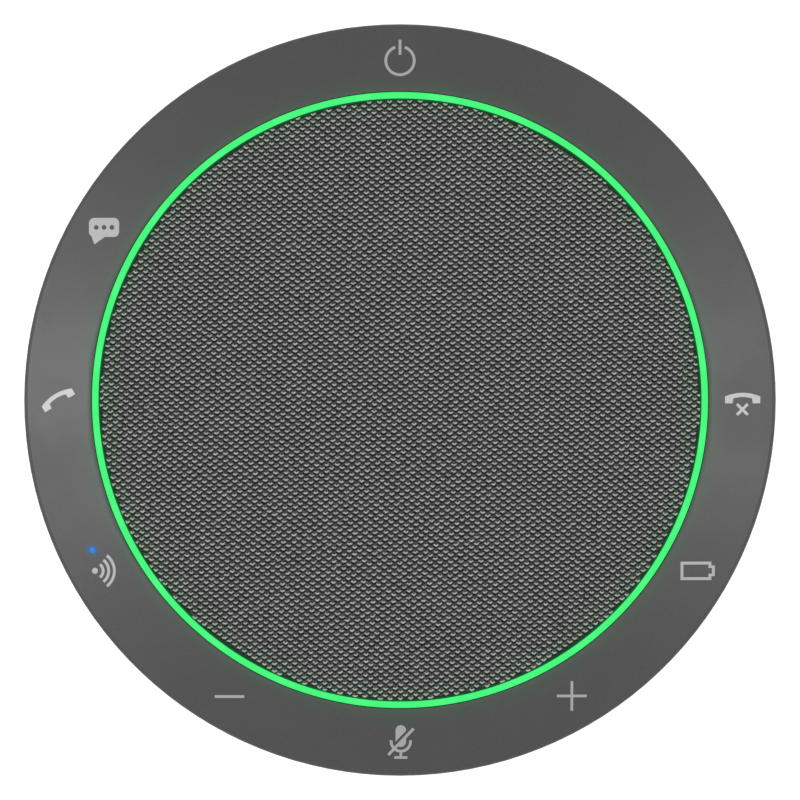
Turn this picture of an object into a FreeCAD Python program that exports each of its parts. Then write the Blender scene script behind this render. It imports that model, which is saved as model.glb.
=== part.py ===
import FreeCAD, Part
import math
import os
from collections import namedtuple

import Sketcher
from FreeCAD import Placement, Rotation, Vector

# A round conference speakerphone that stands on a table. Millimetres. The origin is at the centre of the
# face it stands on, +Z is up, +Y points to the back where the USB socket is, and -Y to the user.

DRIVING = {
    # The whole disc and its rim
    "disc_radius": 60.0,
    "edge_radius": 0.5,
    "rim_top": 31.9,
    "rim_slope": 11.0,
    "overlay_inner": 49.35,
    "overlay_sheet": 0.6,
    "plate_sheet": 1.6,
    "dome_crown": 33.0,
    "dome_rise": 1.0,
    # Parting line between the two casings
    "parting": 24.9,
    "parting_gap": 0.3,
    "lip_inner": 58.6,
    "ledge_height": 22.5,
    "skirt_inner": 57.7,
    "skirt_outer": 58.5,
    "skirt_bottom": 23.5,
    # Speaker deck and light trough of the top casing
    "deck_bottom": 25.0,
    "deck_sheet": 1.6,
    "deck_hole": 25.5,
    "trough_inner": 47.5,
    "trough_sheet": 0.8,
    "trough_wall": 1.4,
    # Light ring
    "ring_inner": 48.05,
    "ring_outer": 49.15,
    "ring_top": 31.75,
    "ring_flange": 0.5,
    "ring_flange_height": 1.2,
    # Grille
    "frame_radius": 47.4,
    "frame_sheet": 1.4,
    "frame_skirt": 1.2,
    "cloth_sheet": 0.6,
    "cloth_wrap": 0.4,
    "cloth_bottom": 27.2,
    "grille_hole": 2.2,
    "grille_row": 7.2,
    # Keys and their switches
    "key_step": 30.0,
    "key_inner": 51.2,
    "key_outer": 57.2,
    "key_sweep": 12.0,
    "key_sheet": 1.4,
    "key_gap": 0.3,
    "key_drop": 0.05,
    "key_post": 1.5,
    "post_bottom": 26.7,
    "switch_circle": 53.8,
    "switch_width": 4.2,
    "switch_height": 2.6,
    "plunger_radius": 0.9,
    "plunger_bottom": 25.0,
    "well_gap": 0.1,
    "well_floor": 24.5,
    # Main board and what stands on it
    "board_inner": 45.8,
    "board_outer": 56.4,
    "board_bottom": 22.2,
    "board_sheet": 1.2,
    "led_circle": 48.45,
    "led_hole": 0.8,
    "status_angle": 206.0,
    "status_circle": 54.5,
    "status_pipe": 0.5,
    "mic_circle": 53.5,
    "mic_port_width": 2.4,
    "mic_port_height": 0.9,
    "mic_port_middle": 26.5,
    "boot_inner": 51.8,
    "boot_bottom": 24.4,
    "boot_top": 27.6,
    "boot_width": 5.0,
    "board_screw_circle": 51.6,
    "socket_height": 2.0,
    # Bottom casing
    "bowl_centre": 27.35,
    "bowl_radius": 32.4,
    "bowl_wall": 2.2,
    "base_height": 0.8,
    "floor_height": 2.8,
    "foot_inner": 38.0,
    "foot_outer": 46.5,
    "foot_height": 1.4,
    "foot_gap": 0.5,
    "case_screw_circle": 42.3,
    "tube_radius": 3.5,
    "tube_bore": 2.5,
    "tube_shelf": 17.0,
    "tube_top": 19.0,
    # Speaker box
    "box_radius": 38.5,
    "box_wall": 1.6,
    "box_bottom": 9.6,
    "box_floor": 1.4,
    "box_seal": 0.5,
    "box_screw_circle": 41.2,
    "ear_bottom": 23.4,
    # Driver
    "flange_radius": 32.0,
    "flange_inner": 23.8,
    "flange_sheet": 1.0,
    "gasket_sheet": 0.5,
    "driver_screw_circle": 29.5,
    "yoke_bottom": 11.6,
    "yoke_sheet": 1.6,
    "yoke_radius": 13.0,
    "pole_radius": 5.8,
    "magnet_inner": 8.5,
    "magnet_radius": 14.0,
    "magnet_height": 3.0,
    "top_plate_hole": 6.7,
    "top_plate_sheet": 1.4,
    "coil_inner": 6.1,
    "coil_outer": 6.4,
    "coil_bottom": 15.0,
    "coil_top": 22.0,
    "cone_edge": 20.5,
    "cone_sheet": 0.4,
    "roll_inner": 20.9,
    "roll_radius": 1.6,
    "roll_sheet": 0.3,
    "spider_radius": 14.5,
    "spider_height": 19.6,
    # USB socket, its board and the recess round it
    "usb_middle": 13.0,
    "usb_mouth": 52.1,
    "usb_length": 7.2,
    "usb_width": 8.94,
    "usb_height": 3.2,
    "usb_shell": 0.3,
    "recess_width": 13.5,
    "recess_height": 7.0,
    "recess_back": 52.2,
    "recess_wall": 1.2,
    "usb_board_front": 40.0,
    "usb_board_back": 50.8,
    "usb_board_width": 24.0,
    "usb_board_sheet": 1.0,
    "usb_post_side": 9.5,
    "usb_post_back": 44.0,
    # Battery and leads
    "battery_length": 46.0,
    "battery_width": 38.0,
    "battery_height": 5.8,
    "battery_pad": 0.5,
    "lead_angle_battery": 23.4,
    "lead_angle_speaker": 195.0,
    "battery_lead_radius": 0.8,
    "speaker_lead_radius": 0.6,
    "terminal_height": 17.2,
    # Screws, the bosses they bite into and the holes they pass through
    "screw_head": 1.9,
    "screw_shank": 1.05,
    "screw_head_height": 1.3,
    "small_head": 1.5,
    "small_shank": 0.8,
    "small_head_height": 1.1,
    "boss_radius": 2.3,
    "boss_bore": 1.1,
    "board_boss": 1.9,
    "board_bore": 0.85,
    "board_hole": 0.95,
    "basket_hole": 1.2,
    "gasket_screw_hole": 1.4,
    "usb_post": 2.2,
    # Parts on the boards
    "lamp_length": 0.8,
    "lamp_width": 1.6,
    "lamp_height": 0.7,
    "status_lamp_width": 1.2,
    "status_lamp_height": 0.6,
    "status_cup": 1.4,
    "status_cup_wall": 0.4,
    "status_cup_height": 1.5,
    "status_cup_depth": 0.9,
    "mic_length": 2.65,
    "mic_width": 3.5,
    "mic_height": 0.98,
    "mic_hole": 0.4,
    "boot_bore": 0.6,
    "shield_length": 8.0,
    "shield_width": 13.0,
    "shield_height": 2.0,
    "shield_sheet": 0.2,
    "shield_angle": 140.0,
    "chip_height": 1.0,
    "socket_length": 4.2,
    "socket_width": 5.0,
    # Small features of the speaker and its box
    "basket_window": 56.0,
    "terminal_width": 6.0,
    "terminal_length": 4.6,
    "terminal_sheet": 0.8,
    "cap_rise": 2.2,
    "spider_sheet": 0.25,
    "spider_ledge": 1.7,
    "box_corner": 1.5,
    "ear_half": 2.9,
    # Small features of the USB socket and its flat cable
    "tongue_width": 6.7,
    "tongue_height": 0.7,
    "tongue_corner": 0.2,
    "flex_sheet": 0.2,
    "flex_small_bend": 1.2,
    "flex_large_bend": 2.4,
    "flex_near": 4.5,
    "flex_far": 10.5,
    # Rib, pad and corners of the battery
    "rib_gap": 0.4,
    "rib_wall": 1.2,
    "rib_height": 2.4,
    "rib_corner": 2.0,
    "rib_inner_corner": 0.8,
    "pad_inset": 1.0,
    "pad_corner": 2.0,
    "battery_corner": 2.5,
    # Angles of the rings of screws
    "board_screw_angle": 75.0,
    "driver_screw_angle": 45.0,
    "box_screw_angle": 30.0,
    "mic_angle": 45.0,
    "lamp_angle": 7.5,
    "usb_turn": 90.0,
}

# Chips under the main board: where each sits, in degrees, and the side of its square body.
CHIPS = {
    55.0: 7.0,
    110.0: 5.0,
    240.0: 6.0,
    285.0: 4.0,
}
LAMPS = 24
MICROPHONES = 4
CASE_SCREWS = 6
BOX_SCREWS = 6
BOARD_SCREWS = 4
DRIVER_SCREWS = 4
GRILLE_ROWS = 5

# Where each key sits, in steps of key_step anticlockwise from +X.
KEYS = {
    "hang_up": 0,
    "power": 3,
    "meeting": 5,
    "answer": 6,
    "pairing": 7,
    "volume_down": 8,
    "mute": 9,
    "volume_up": 10,
    "battery": 11,
}

Disc = namedtuple("Disc", "x y radius")


class Size:
    """A length or angle that keeps both its number and the spreadsheet formula that drives it."""

    def __init__(self, number, formula):
        self.number = number
        self.formula = formula

    def __add__(self, other):
        return joined(self, "+", other, self.number + number_of(other))

    def __sub__(self, other):
        return joined(self, "-", other, self.number - number_of(other))

    def __mul__(self, other):
        return joined(self, "*", other, self.number * number_of(other))

    def __truediv__(self, other):
        return joined(self, "/", other, self.number / number_of(other))

    def __neg__(self):
        return Size(-self.number, f"(0 - {self.formula})")


def number_of(value):
    return value.number if isinstance(value, Size) else float(value)


def formula_of(value):
    return value.formula if isinstance(value, Size) else repr(float(value))


def joined(left, sign, right, number):
    return Size(number, f"({left.formula} {sign} {formula_of(right)})")


def root(size):
    return Size(math.sqrt(size.number), f"sqrt({size.formula})")


def tangent(size):
    return Size(math.tan(math.radians(size.number)), f"tan({size.formula} * 1 deg)")


class Dimensions:
    """The spreadsheet of driving dimensions, with one Size for each alias."""

    def __init__(self, document, values):
        sheet = document.addObject("Spreadsheet::Sheet", "Dimensions")
        for row, (alias, value) in enumerate(values.items(), start=1):
            sheet.set(f"A{row}", alias)
            sheet.set(f"B{row}", str(value))
            sheet.setAlias(f"B{row}", alias)
            setattr(self, alias, Size(value, f"Dimensions.{alias}"))
        document.recompute()


# ---------------------------------------------------------------------------------------------------------
# Outlines
# ---------------------------------------------------------------------------------------------------------
# An outline is a list of corners (x, y). A third value makes the edge that arrives at the corner an arc of
# that radius: positive when it is travelled anticlockwise, negative when clockwise.

def rectangle(left, right, low, high):
    return [(left, low), (right, low), (right, high), (left, high)]


def rounded_rectangle(width, height, radius, middle=0.0):
    """Centred on the sketch's vertical axis, with its middle at the given height."""
    side = width / 2
    half = height / 2
    inset = side - radius
    low = -half + middle
    high = half + middle
    return [
        (-inset, low),
        (inset, low),
        (side, low + radius, radius),
        (side, high - radius),
        (inset, high, radius),
        (-inset, high),
        (-side, high - radius, radius),
        (-side, low + radius),
        (-inset, low, radius),
    ]


def closed_end(corners):
    """Drops a last corner that repeats the first, and hands its arc to the first."""
    first, last = corners[0], corners[-1]
    if math.dist([number_of(v) for v in first[:2]], [number_of(v) for v in last[:2]]) > 1e-9:
        return corners
    return [last] + corners[1:-1]


def sheet(path, thickness):
    """The closed outline of a sheet whose lower face follows the path."""
    upper = []
    bend = None
    for corner in reversed(path):
        point = (corner[0], thickness + corner[1])
        upper.append(point if bend is None else point + (-bend,))
        bend = corner[2] if len(corner) > 2 else None
    return list(path) + upper


def bulge_centre(start, end, radius):
    """Centre of the arc from start to end; a positive radius travels anticlockwise."""
    chord = end - start
    left = Vector(-chord.y, chord.x, 0).normalize()
    rise = math.sqrt(max(radius * radius - chord.Length ** 2 / 4, 0))
    return (start + end) * 0.5 + left * math.copysign(rise, radius)


def bind_point(sketch, geometry, end, x, y):
    """Ties one point of the sketch to its formula distances from the sketch's origin."""
    for kind, axis, value in (("DistanceX", -2, x), ("DistanceY", -1, y)):
        number = number_of(value)
        if abs(number) < 1e-9:
            sketch.addConstraint(Sketcher.Constraint("PointOnObject", geometry, end, axis))
            continue
        ends = (-1, 1, geometry, end) if number > 0 else (geometry, end, -1, 1)
        formula = formula_of(value if number > 0 else -value)
        index = sketch.addConstraint(Sketcher.Constraint(kind, *ends, abs(number)))
        sketch.setExpression(f"Constraints[{index}]", formula)


def bind_radius(sketch, geometry, radius):
    number = number_of(radius)
    index = sketch.addConstraint(Sketcher.Constraint("Radius", geometry, abs(number)))
    sketch.setExpression(f"Constraints[{index}]", formula_of(radius if number > 0 else -radius))


def draw_disc(sketch, disc):
    middle = Vector(number_of(disc.x), number_of(disc.y), 0)
    circle = sketch.addGeometry(Part.Circle(middle, Vector(0, 0, 1), number_of(disc.radius)), False)
    bind_point(sketch, circle, 3, disc.x, disc.y)
    bind_radius(sketch, circle, disc.radius)


def draw_corners(sketch, corners):
    corners = closed_end(corners)
    points = [Vector(number_of(c[0]), number_of(c[1]), 0) for c in corners]
    tails = []
    heads = []
    for index, corner in enumerate(corners):
        start, end = points[index - 1], points[index]
        if len(corner) == 2:
            edge = sketch.addGeometry(Part.LineSegment(start, end), False)
            tails.append((edge, 1))
            heads.append((edge, 2))
            continue
        radius = number_of(corner[2])
        middle = bulge_centre(start, end, radius)
        first, last = (start, end) if radius > 0 else (end, start)
        angles = [math.atan2(p.y - middle.y, p.x - middle.x) for p in (first, last)]
        circle = Part.Circle(middle, Vector(0, 0, 1), abs(radius))
        edge = sketch.addGeometry(Part.ArcOfCircle(circle, *angles), False)
        bind_radius(sketch, edge, corner[2])
        tails.append((edge, 1 if radius > 0 else 2))
        heads.append((edge, 2 if radius > 0 else 1))
    for index, corner in enumerate(corners):
        following = tails[(index + 1) % len(corners)]
        sketch.addConstraint(Sketcher.Constraint("Coincident", *heads[index], *following))
        bind_point(sketch, *heads[index], corner[0], corner[1])


# ---------------------------------------------------------------------------------------------------------
# Pieces
# ---------------------------------------------------------------------------------------------------------

class Piece:
    """A PartDesign body whose features are turned about, or raised along, the disc's own axis."""

    def __init__(self, name):
        self.body = doc.addObject("PartDesign::Body", name)
        self.body.Label = name
        pieces.append(self.body)

    def datum(self, role):
        return next(f for f in self.body.Origin.OriginFeatures if f.Role == role)

    def sketch(self, plane, loops, lift=None, turn=None):
        """Draws loops on an origin plane, lifted along its normal or turned about the disc's axis."""
        drawn = self.body.newObject("Sketcher::SketchObject", f"{self.body.Name}_sketch")
        drawn.AttachmentSupport = [(self.datum(plane), "")]
        drawn.MapMode = "FlatFace"
        upright = Vector(0, 1, 0) if plane == "XZ_Plane" else Vector(0, 0, 1)
        rotation = Rotation(upright, number_of(turn)) if turn is not None else Rotation()
        base = Vector(0, 0, number_of(lift)) if lift is not None else Vector()
        drawn.AttachmentOffset = Placement(base, rotation)
        if lift is not None:
            drawn.setExpression("AttachmentOffset.Base.z", formula_of(lift))
        if turn is not None and number_of(turn):
            drawn.setExpression("AttachmentOffset.Rotation.Angle", f"{formula_of(turn)} * 1 deg")
        for loop in loops:
            if isinstance(loop, Disc):
                draw_disc(drawn, loop)
            else:
                draw_corners(drawn, loop)
        return drawn

    def turned(self, corners, sweep=None, turn=None, cut=False):
        """Turns an outline of (radius, height) about the disc's axis, by a sweep centred on turn."""
        kind = "PartDesign::Groove" if cut else "PartDesign::Revolution"
        feature = self.body.newObject(kind, f"{self.body.Name}_turned")
        feature.Profile = self.sketch("XZ_Plane", [corners], turn=turn)
        feature.ReferenceAxis = (self.datum("Z_Axis"), [""])
        feature.Angle = 360.0 if sweep is None else number_of(sweep)
        if sweep is not None:
            feature.setExpression("Angle", formula_of(sweep))
            feature.Midplane = True
        return feature

    def spun(self, corners, radius, turn=None):
        """Turns an outline about the vertical line at a radius from the disc's axis."""
        feature = self.body.newObject("PartDesign::Revolution", f"{self.body.Name}_spun")
        drawn = self.sketch("XZ_Plane", [corners], turn=turn)
        foot = Vector(number_of(radius), 0, 0)
        line = drawn.addGeometry(Part.LineSegment(foot, foot + Vector(0, 1, 0)), True)
        bind_point(drawn, line, 1, radius, 0.0)
        bind_point(drawn, line, 2, radius, 1.0)
        feature.Profile = drawn
        feature.ReferenceAxis = (drawn, ["Axis0"])
        feature.Angle = 360.0
        return feature

    def raised(self, loops, start, end, turn=None, plane="XY_Plane", cut=False):
        """Extrudes loops between two heights, or between two distances back from the disc's axis."""
        kind = "PartDesign::Pocket" if cut else "PartDesign::Pad"
        feature = self.body.newObject(kind, f"{self.body.Name}_raised")
        across = plane == "XZ_Plane"
        feature.Profile = self.sketch(plane, loops, lift=-start if across else start, turn=turn)
        length = end - start
        feature.Length = number_of(length)
        feature.setExpression("Length", formula_of(length))
        feature.Reversed = cut != across
        return feature

    def ring_of(self, features, count, sweep=360.0):
        """Repeats features about the disc's axis."""
        pattern = self.body.newObject("PartDesign::PolarPattern", f"{self.body.Name}_ring")
        pattern.Originals = features
        pattern.Axis = (self.datum("Z_Axis"), [""])
        pattern.Angle = sweep
        pattern.Occurrences = count
        self.body.Tip = pattern
        return pattern

    def placed(self, turn):
        """Turns the whole body about the disc's axis."""
        self.body.Placement = Placement(Vector(), Rotation(Vector(0, 0, 1), number_of(turn)))
        if number_of(turn):
            self.body.setExpression("Placement.Rotation.Angle", f"{formula_of(turn)} * 1 deg")


doc = FreeCAD.newDocument("speakerphone")
pieces = []
dim = Dimensions(doc, DRIVING)
ZERO = Size(0.0, "0")


# Heights and radii that several pieces share

def rim_height(radius):
    """Height of the overlay's sloping face at a radius."""
    return dim.rim_top - (radius - dim.overlay_inner) * tangent(dim.rim_slope)


def plate_height(radius):
    """Height of the rigid plate's upper face, just under the overlay."""
    return rim_height(radius) - dim.overlay_sheet


def bowl_radius_at(height, inside=0.0):
    """Radius of the bottom casing's side at a height, measured on a face set in by inside."""
    side = dim.bowl_radius - inside
    fall = dim.parting - height
    return dim.bowl_centre + root(side * side - fall * fall)


overlay_outer = dim.disc_radius - dim.edge_radius
deck_top = dim.deck_bottom + dim.deck_sheet
trough_top = dim.deck_bottom + dim.trough_sheet
wall_outer = dim.overlay_inner + dim.trough_wall
board_top = dim.board_bottom + dim.board_sheet
dome_radius = (dim.frame_radius * dim.frame_radius + dim.dome_rise * dim.dome_rise) / (dim.dome_rise * 2)
frame_crown = dim.dome_crown - dim.cloth_sheet
flange_bottom = deck_top + dim.gasket_sheet
flange_top = flange_bottom + dim.flange_sheet
magnet_bottom = dim.yoke_bottom + dim.yoke_sheet
magnet_top = magnet_bottom + dim.magnet_height
top_plate_top = magnet_top + dim.top_plate_sheet
usb_board_top = dim.usb_middle - dim.usb_height / 2
usb_board_bottom = usb_board_top - dim.usb_board_sheet
battery_bottom = dim.floor_height + dim.battery_pad
key_window_sweep = dim.key_sweep + dim.key_gap / dim.key_inner * (2 * 180 / math.pi)
socket_bottom = dim.board_bottom - dim.socket_height


# ---------------------------------------------------------------------------------------------------------
# Casing
# ---------------------------------------------------------------------------------------------------------

def control_overlay():
    """Seamless film on the sloping rim, with one small hole for the status light."""
    piece = Piece("control_overlay")
    piece.turned([
        (dim.overlay_inner, plate_height(dim.overlay_inner)),
        (overlay_outer, plate_height(overlay_outer)),
        (overlay_outer, rim_height(overlay_outer)),
        (dim.overlay_inner, rim_height(dim.overlay_inner)),
    ])
    hole = [Disc(dim.status_circle, 0.0, dim.status_pipe + 0.05)]
    piece.raised(hole, dim.deck_bottom, dim.dome_crown, turn=dim.status_angle, cut=True)


def top_casing():
    """Rigid moulding: sloping plate, outer wall, light trough and speaker deck in one."""
    piece = Piece("top_casing")
    plate_under_inner = plate_height(wall_outer) - dim.plate_sheet
    plate_under_outer = plate_height(dim.skirt_inner) - dim.plate_sheet
    wall_bottom = dim.parting + dim.parting_gap
    piece.turned([
        (dim.deck_hole, dim.deck_bottom),
        (wall_outer, dim.deck_bottom),
        (wall_outer, plate_under_inner),
        (dim.skirt_inner, plate_under_outer),
        (dim.skirt_inner, dim.skirt_bottom),
        (dim.skirt_outer, dim.skirt_bottom),
        (dim.skirt_outer, wall_bottom),
        (dim.disc_radius, wall_bottom),
        (dim.disc_radius, rim_height(overlay_outer) - dim.edge_radius),
        (overlay_outer, rim_height(overlay_outer), dim.edge_radius),
        (overlay_outer, plate_height(overlay_outer)),
        (dim.overlay_inner, plate_height(dim.overlay_inner)),
        (dim.overlay_inner, trough_top),
        (dim.trough_inner, trough_top),
        (dim.trough_inner, deck_top),
        (dim.deck_hole, deck_top),
    ])
    case_boss_and_bore(piece)
    speaker_box_boss_and_bore(piece)
    driver_boss_and_bore(piece)
    board_boss_and_bore(piece)
    for step in KEYS.values():
        window = rectangle(
            dim.key_inner - dim.key_gap,
            dim.key_outer + dim.key_gap,
            plate_height(dim.key_outer) - dim.plate_sheet - 1,
            dim.rim_top,
        )
        piece.turned(window, sweep=key_window_sweep, turn=dim.key_step * step, cut=True)
    light = piece.raised([Disc(dim.led_circle, 0.0, dim.led_hole)], dim.deck_bottom - 1,
                         trough_top + 0.5, turn=dim.lamp_angle, cut=True)
    piece.ring_of([light], LAMPS)
    half_port = dim.mic_port_width / 2
    port = rectangle(dim.skirt_inner - 1, dim.disc_radius + 1, -half_port, half_port)
    low = dim.mic_port_middle - dim.mic_port_height / 2
    mic_port = piece.raised([port], low, low + dim.mic_port_height, turn=dim.mic_angle, cut=True)
    piece.ring_of([mic_port], MICROPHONES)


def boss_and_bore(piece, circle, turn, count, boss, bore):
    """A ring of round bosses with blind bores; each is (radius, bottom, top)."""
    solid = piece.raised([Disc(circle, 0.0, boss[0])], boss[1], boss[2], turn=turn)
    piece.ring_of([solid], count)
    hole = piece.raised([Disc(circle, 0.0, bore[0])], bore[1], bore[2], turn=turn, cut=True)
    piece.ring_of([hole], count)


def case_boss_and_bore(piece):
    boss = (dim.tube_bore + 0.5, dim.tube_top, dim.deck_bottom + 0.5)
    bore = (dim.tube_bore / 2 + 0.05, dim.tube_top - 1, dim.deck_bottom + 0.2)
    boss_and_bore(piece, dim.case_screw_circle, None, CASE_SCREWS, boss, bore)


def speaker_box_boss_and_bore(piece):
    boss = (dim.boss_radius, deck_top - 0.5, deck_top + 1.8)
    bore = (dim.boss_bore, dim.deck_bottom - 1, deck_top + 1.4)
    boss_and_bore(piece, dim.box_screw_circle, dim.box_screw_angle, BOX_SCREWS, boss, bore)


def driver_boss_and_bore(piece):
    boss = (dim.boss_radius, dim.deck_bottom - 2.4, dim.deck_bottom + 0.5)
    bore = (dim.boss_bore, dim.deck_bottom - 1.9, deck_top + 1)
    boss_and_bore(piece, dim.driver_screw_circle, dim.driver_screw_angle, DRIVER_SCREWS, boss, bore)


def board_boss_and_bore(piece):
    boss = (dim.board_boss, board_top, plate_height(dim.key_inner) - dim.plate_sheet + 0.4)
    bore = (dim.board_bore, board_top - 1, board_top + 4.5)
    boss_and_bore(piece, dim.board_screw_circle, dim.board_screw_angle, BOARD_SCREWS, boss, bore)


def light_ring():
    """Clear ring: a wide foot in the trough and a thin band that shows round the grille."""
    foot_top = trough_top + dim.ring_flange_height
    Piece("light_ring").turned([
        (dim.ring_inner - dim.ring_flange, trough_top),
        (dim.ring_outer, trough_top),
        (dim.ring_outer, dim.ring_top),
        (dim.ring_inner, dim.ring_top),
        (dim.ring_inner, foot_top),
        (dim.ring_inner - dim.ring_flange, foot_top),
    ])


def grille_frame():
    """Domed plate with rings of holes, standing on the deck by its skirt."""
    piece = Piece("grille_frame")
    edge_top = frame_crown - dim.dome_rise
    skirt_inner = dim.frame_radius - dim.frame_skirt
    piece.turned([
        (skirt_inner, deck_top),
        (dim.frame_radius, deck_top),
        (dim.frame_radius, edge_top),
        (0.0, frame_crown, dome_radius),
        (0.0, frame_crown - dim.frame_sheet),
        (skirt_inner, edge_top - dim.frame_sheet, -dome_radius),
    ])
    piece.raised([Disc(0.0, 0.0, dim.grille_hole)], deck_top, dim.dome_crown, cut=True)
    for row in range(1, GRILLE_ROWS + 1):
        hole = [Disc(dim.grille_row * row, 0.0, dim.grille_hole)]
        first = piece.raised(hole, deck_top + 1, dim.dome_crown, cut=True)
        piece.ring_of([first], 6 * row)


def grille_fabric():
    """Speaker fabric, over the dome and down round the frame's edge."""
    inner = dim.frame_radius + 0.05
    outer = inner + dim.cloth_wrap
    edge = frame_crown - dim.dome_rise
    cloth_dome = (inner * inner + dim.dome_rise * dim.dome_rise) / (dim.dome_rise * 2)
    Piece("grille_fabric").turned([
        (inner, dim.cloth_bottom),
        (outer, dim.cloth_bottom),
        (outer, edge + dim.cloth_sheet - dim.cloth_wrap),
        (inner, edge + dim.cloth_sheet, dim.cloth_wrap),
        (0.0, dim.dome_crown, cloth_dome),
        (0.0, frame_crown),
        (inner, edge, -cloth_dome),
    ])


def bottom_casing():
    """Bowl with the foot groove, screw tubes, battery frame, board posts and the USB recess."""
    piece = Piece("bottom_casing")
    base_radius = bowl_radius_at(dim.base_height)
    groove_inner = dim.foot_inner - dim.foot_gap
    groove_outer = dim.foot_outer + dim.foot_gap
    inside = dim.bowl_wall
    bowl_outline = [
        (0.0, dim.base_height),
        (groove_inner, dim.base_height),
        (groove_inner, dim.foot_height),
        (groove_outer, dim.foot_height),
        (groove_outer, dim.base_height),
        (base_radius, dim.base_height),
        (bowl_radius_at(dim.parting), dim.parting, dim.bowl_radius),
        (dim.lip_inner, dim.parting),
        (dim.lip_inner, dim.ledge_height),
        (bowl_radius_at(dim.ledge_height, inside), dim.ledge_height),
        (bowl_radius_at(dim.floor_height, inside), dim.floor_height, inside - dim.bowl_radius),
        (0.0, dim.floor_height),
    ]
    piece.turned(bowl_outline)
    usb_recess(piece, base_radius)
    battery_frame(piece)
    screw_tubes(piece)
    usb_posts(piece)


def usb_recess(piece, base_radius):
    """A walled pocket behind the rear skin, with a slot in its back wall for the socket."""
    back = dim.recess_back - dim.recess_wall
    block_width = dim.recess_width + dim.recess_wall * 2
    block_height = dim.recess_height + dim.recess_wall * 2
    block = rounded_rectangle(block_width, block_height, dim.recess_wall * 2, dim.usb_middle)
    piece.raised([block], back, dim.disc_radius, plane="XZ_Plane")
    far = dim.disc_radius + 5
    piece.turned([
        (base_radius, dim.base_height),
        (far, dim.base_height),
        (far, dim.parting),
        (bowl_radius_at(dim.parting), dim.parting),
        (base_radius, dim.base_height, -dim.bowl_radius),
    ], cut=True)
    pocket = rounded_rectangle(dim.recess_width, dim.recess_height, dim.recess_wall, dim.usb_middle)
    piece.raised([pocket], dim.recess_back, far, plane="XZ_Plane", cut=True)
    slot_height = dim.usb_height + 0.4
    slot = rounded_rectangle(dim.usb_width + 0.3, slot_height, slot_height / 2 - 0.05, dim.usb_middle)
    piece.raised([slot], back - 1, far, plane="XZ_Plane", cut=True)


def battery_frame(piece):
    """A low rib round the battery."""
    inner_length = dim.battery_length + dim.rib_gap * 2
    inner_width = dim.battery_width + dim.rib_gap * 2
    wall = dim.rib_wall * 2
    outside = rounded_rectangle(inner_length + wall, inner_width + wall, dim.rib_corner)
    inside = rounded_rectangle(inner_length, inner_width, dim.rib_inner_corner)
    piece.raised([outside, inside], dim.floor_height - 0.5, dim.floor_height + dim.rib_height)


def screw_tubes(piece):
    """Six tubes with a shelf near the top, which the case screws pull against."""
    tube = piece.raised([Disc(dim.case_screw_circle, 0.0, dim.tube_radius)], dim.foot_height, dim.tube_top)
    piece.ring_of([tube], CASE_SCREWS)
    well = piece.raised([Disc(dim.case_screw_circle, 0.0, dim.tube_bore)], ZERO, dim.tube_shelf, cut=True)
    piece.ring_of([well], CASE_SCREWS)
    through = Disc(dim.case_screw_circle, 0.0, dim.tube_bore / 2 + 0.15)
    hole = piece.raised([through], dim.tube_shelf - 1, dim.tube_top + 1, cut=True)
    piece.ring_of([hole], CASE_SCREWS)


def usb_posts(piece):
    """Two posts that carry the USB board."""
    posts = [Disc(dim.usb_post_side * side, dim.usb_post_back, dim.usb_post) for side in (-1, 1)]
    bores = [Disc(dim.usb_post_side * side, dim.usb_post_back, dim.board_bore) for side in (-1, 1)]
    piece.raised(posts, dim.floor_height - 0.5, usb_board_bottom)
    piece.raised(bores, dim.floor_height + 2.5, usb_board_bottom + 1, cut=True)


def casing_seal():
    """Soft ring between the top casing's skirt and the bottom casing's ledge."""
    outline = rectangle(dim.skirt_inner, dim.skirt_outer, dim.ledge_height, dim.skirt_bottom)
    Piece("casing_seal").turned(outline)


def foot_ring():
    """Rubber ring under the base, with rounded lower corners."""
    corner = dim.foot_height / 2
    Piece("foot_ring").turned([
        (dim.foot_inner + corner, ZERO),
        (dim.foot_outer - corner, ZERO),
        (dim.foot_outer, corner, corner),
        (dim.foot_outer, dim.foot_height),
        (dim.foot_inner, dim.foot_height),
        (dim.foot_inner, corner),
        (dim.foot_inner + corner, ZERO, corner),
    ])


def screw_outline(circle, head, shank, head_end, seat, tip):
    """Half outline of a screw on a vertical line: its head from head_end to seat, its shank on to tip."""
    return [
        (circle, head_end),
        (circle + head, head_end),
        (circle + head, seat),
        (circle + shank, seat),
        (circle + shank, tip),
        (circle, tip),
    ]


def case_screws():
    piece = Piece("case_screws")
    outline = screw_outline(dim.case_screw_circle, dim.tube_bore - 0.2, dim.tube_bore / 2,
                            dim.tube_shelf - 1.6, dim.tube_shelf, dim.deck_bottom - 0.3)
    piece.ring_of([piece.spun(outline, dim.case_screw_circle)], CASE_SCREWS)


# ---------------------------------------------------------------------------------------------------------
# Keys and switches
# ---------------------------------------------------------------------------------------------------------

def key(name, step):
    """One key pad under the overlay, with a post that reaches down to its switch."""
    piece = Piece(f"key_{name}")
    top_inner = plate_height(dim.key_inner) - dim.key_drop
    top_outer = plate_height(dim.key_outer) - dim.key_drop
    piece.turned([
        (dim.key_inner, top_inner - dim.key_sheet),
        (dim.key_outer, top_outer - dim.key_sheet),
        (dim.key_outer, top_outer),
        (dim.key_inner, top_inner),
    ], sweep=dim.key_sweep)
    post = [Disc(dim.switch_circle, 0.0, dim.key_post)]
    piece.raised(post, dim.post_bottom, top_outer)
    if name == "pairing":
        hole = [Disc(dim.status_circle, 0.0, dim.status_pipe + 0.4)]
        turn = dim.status_angle - dim.key_step * step
        piece.raised(hole, dim.post_bottom, dim.rim_top, turn=turn, cut=True)
    piece.placed(dim.key_step * step)


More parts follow.
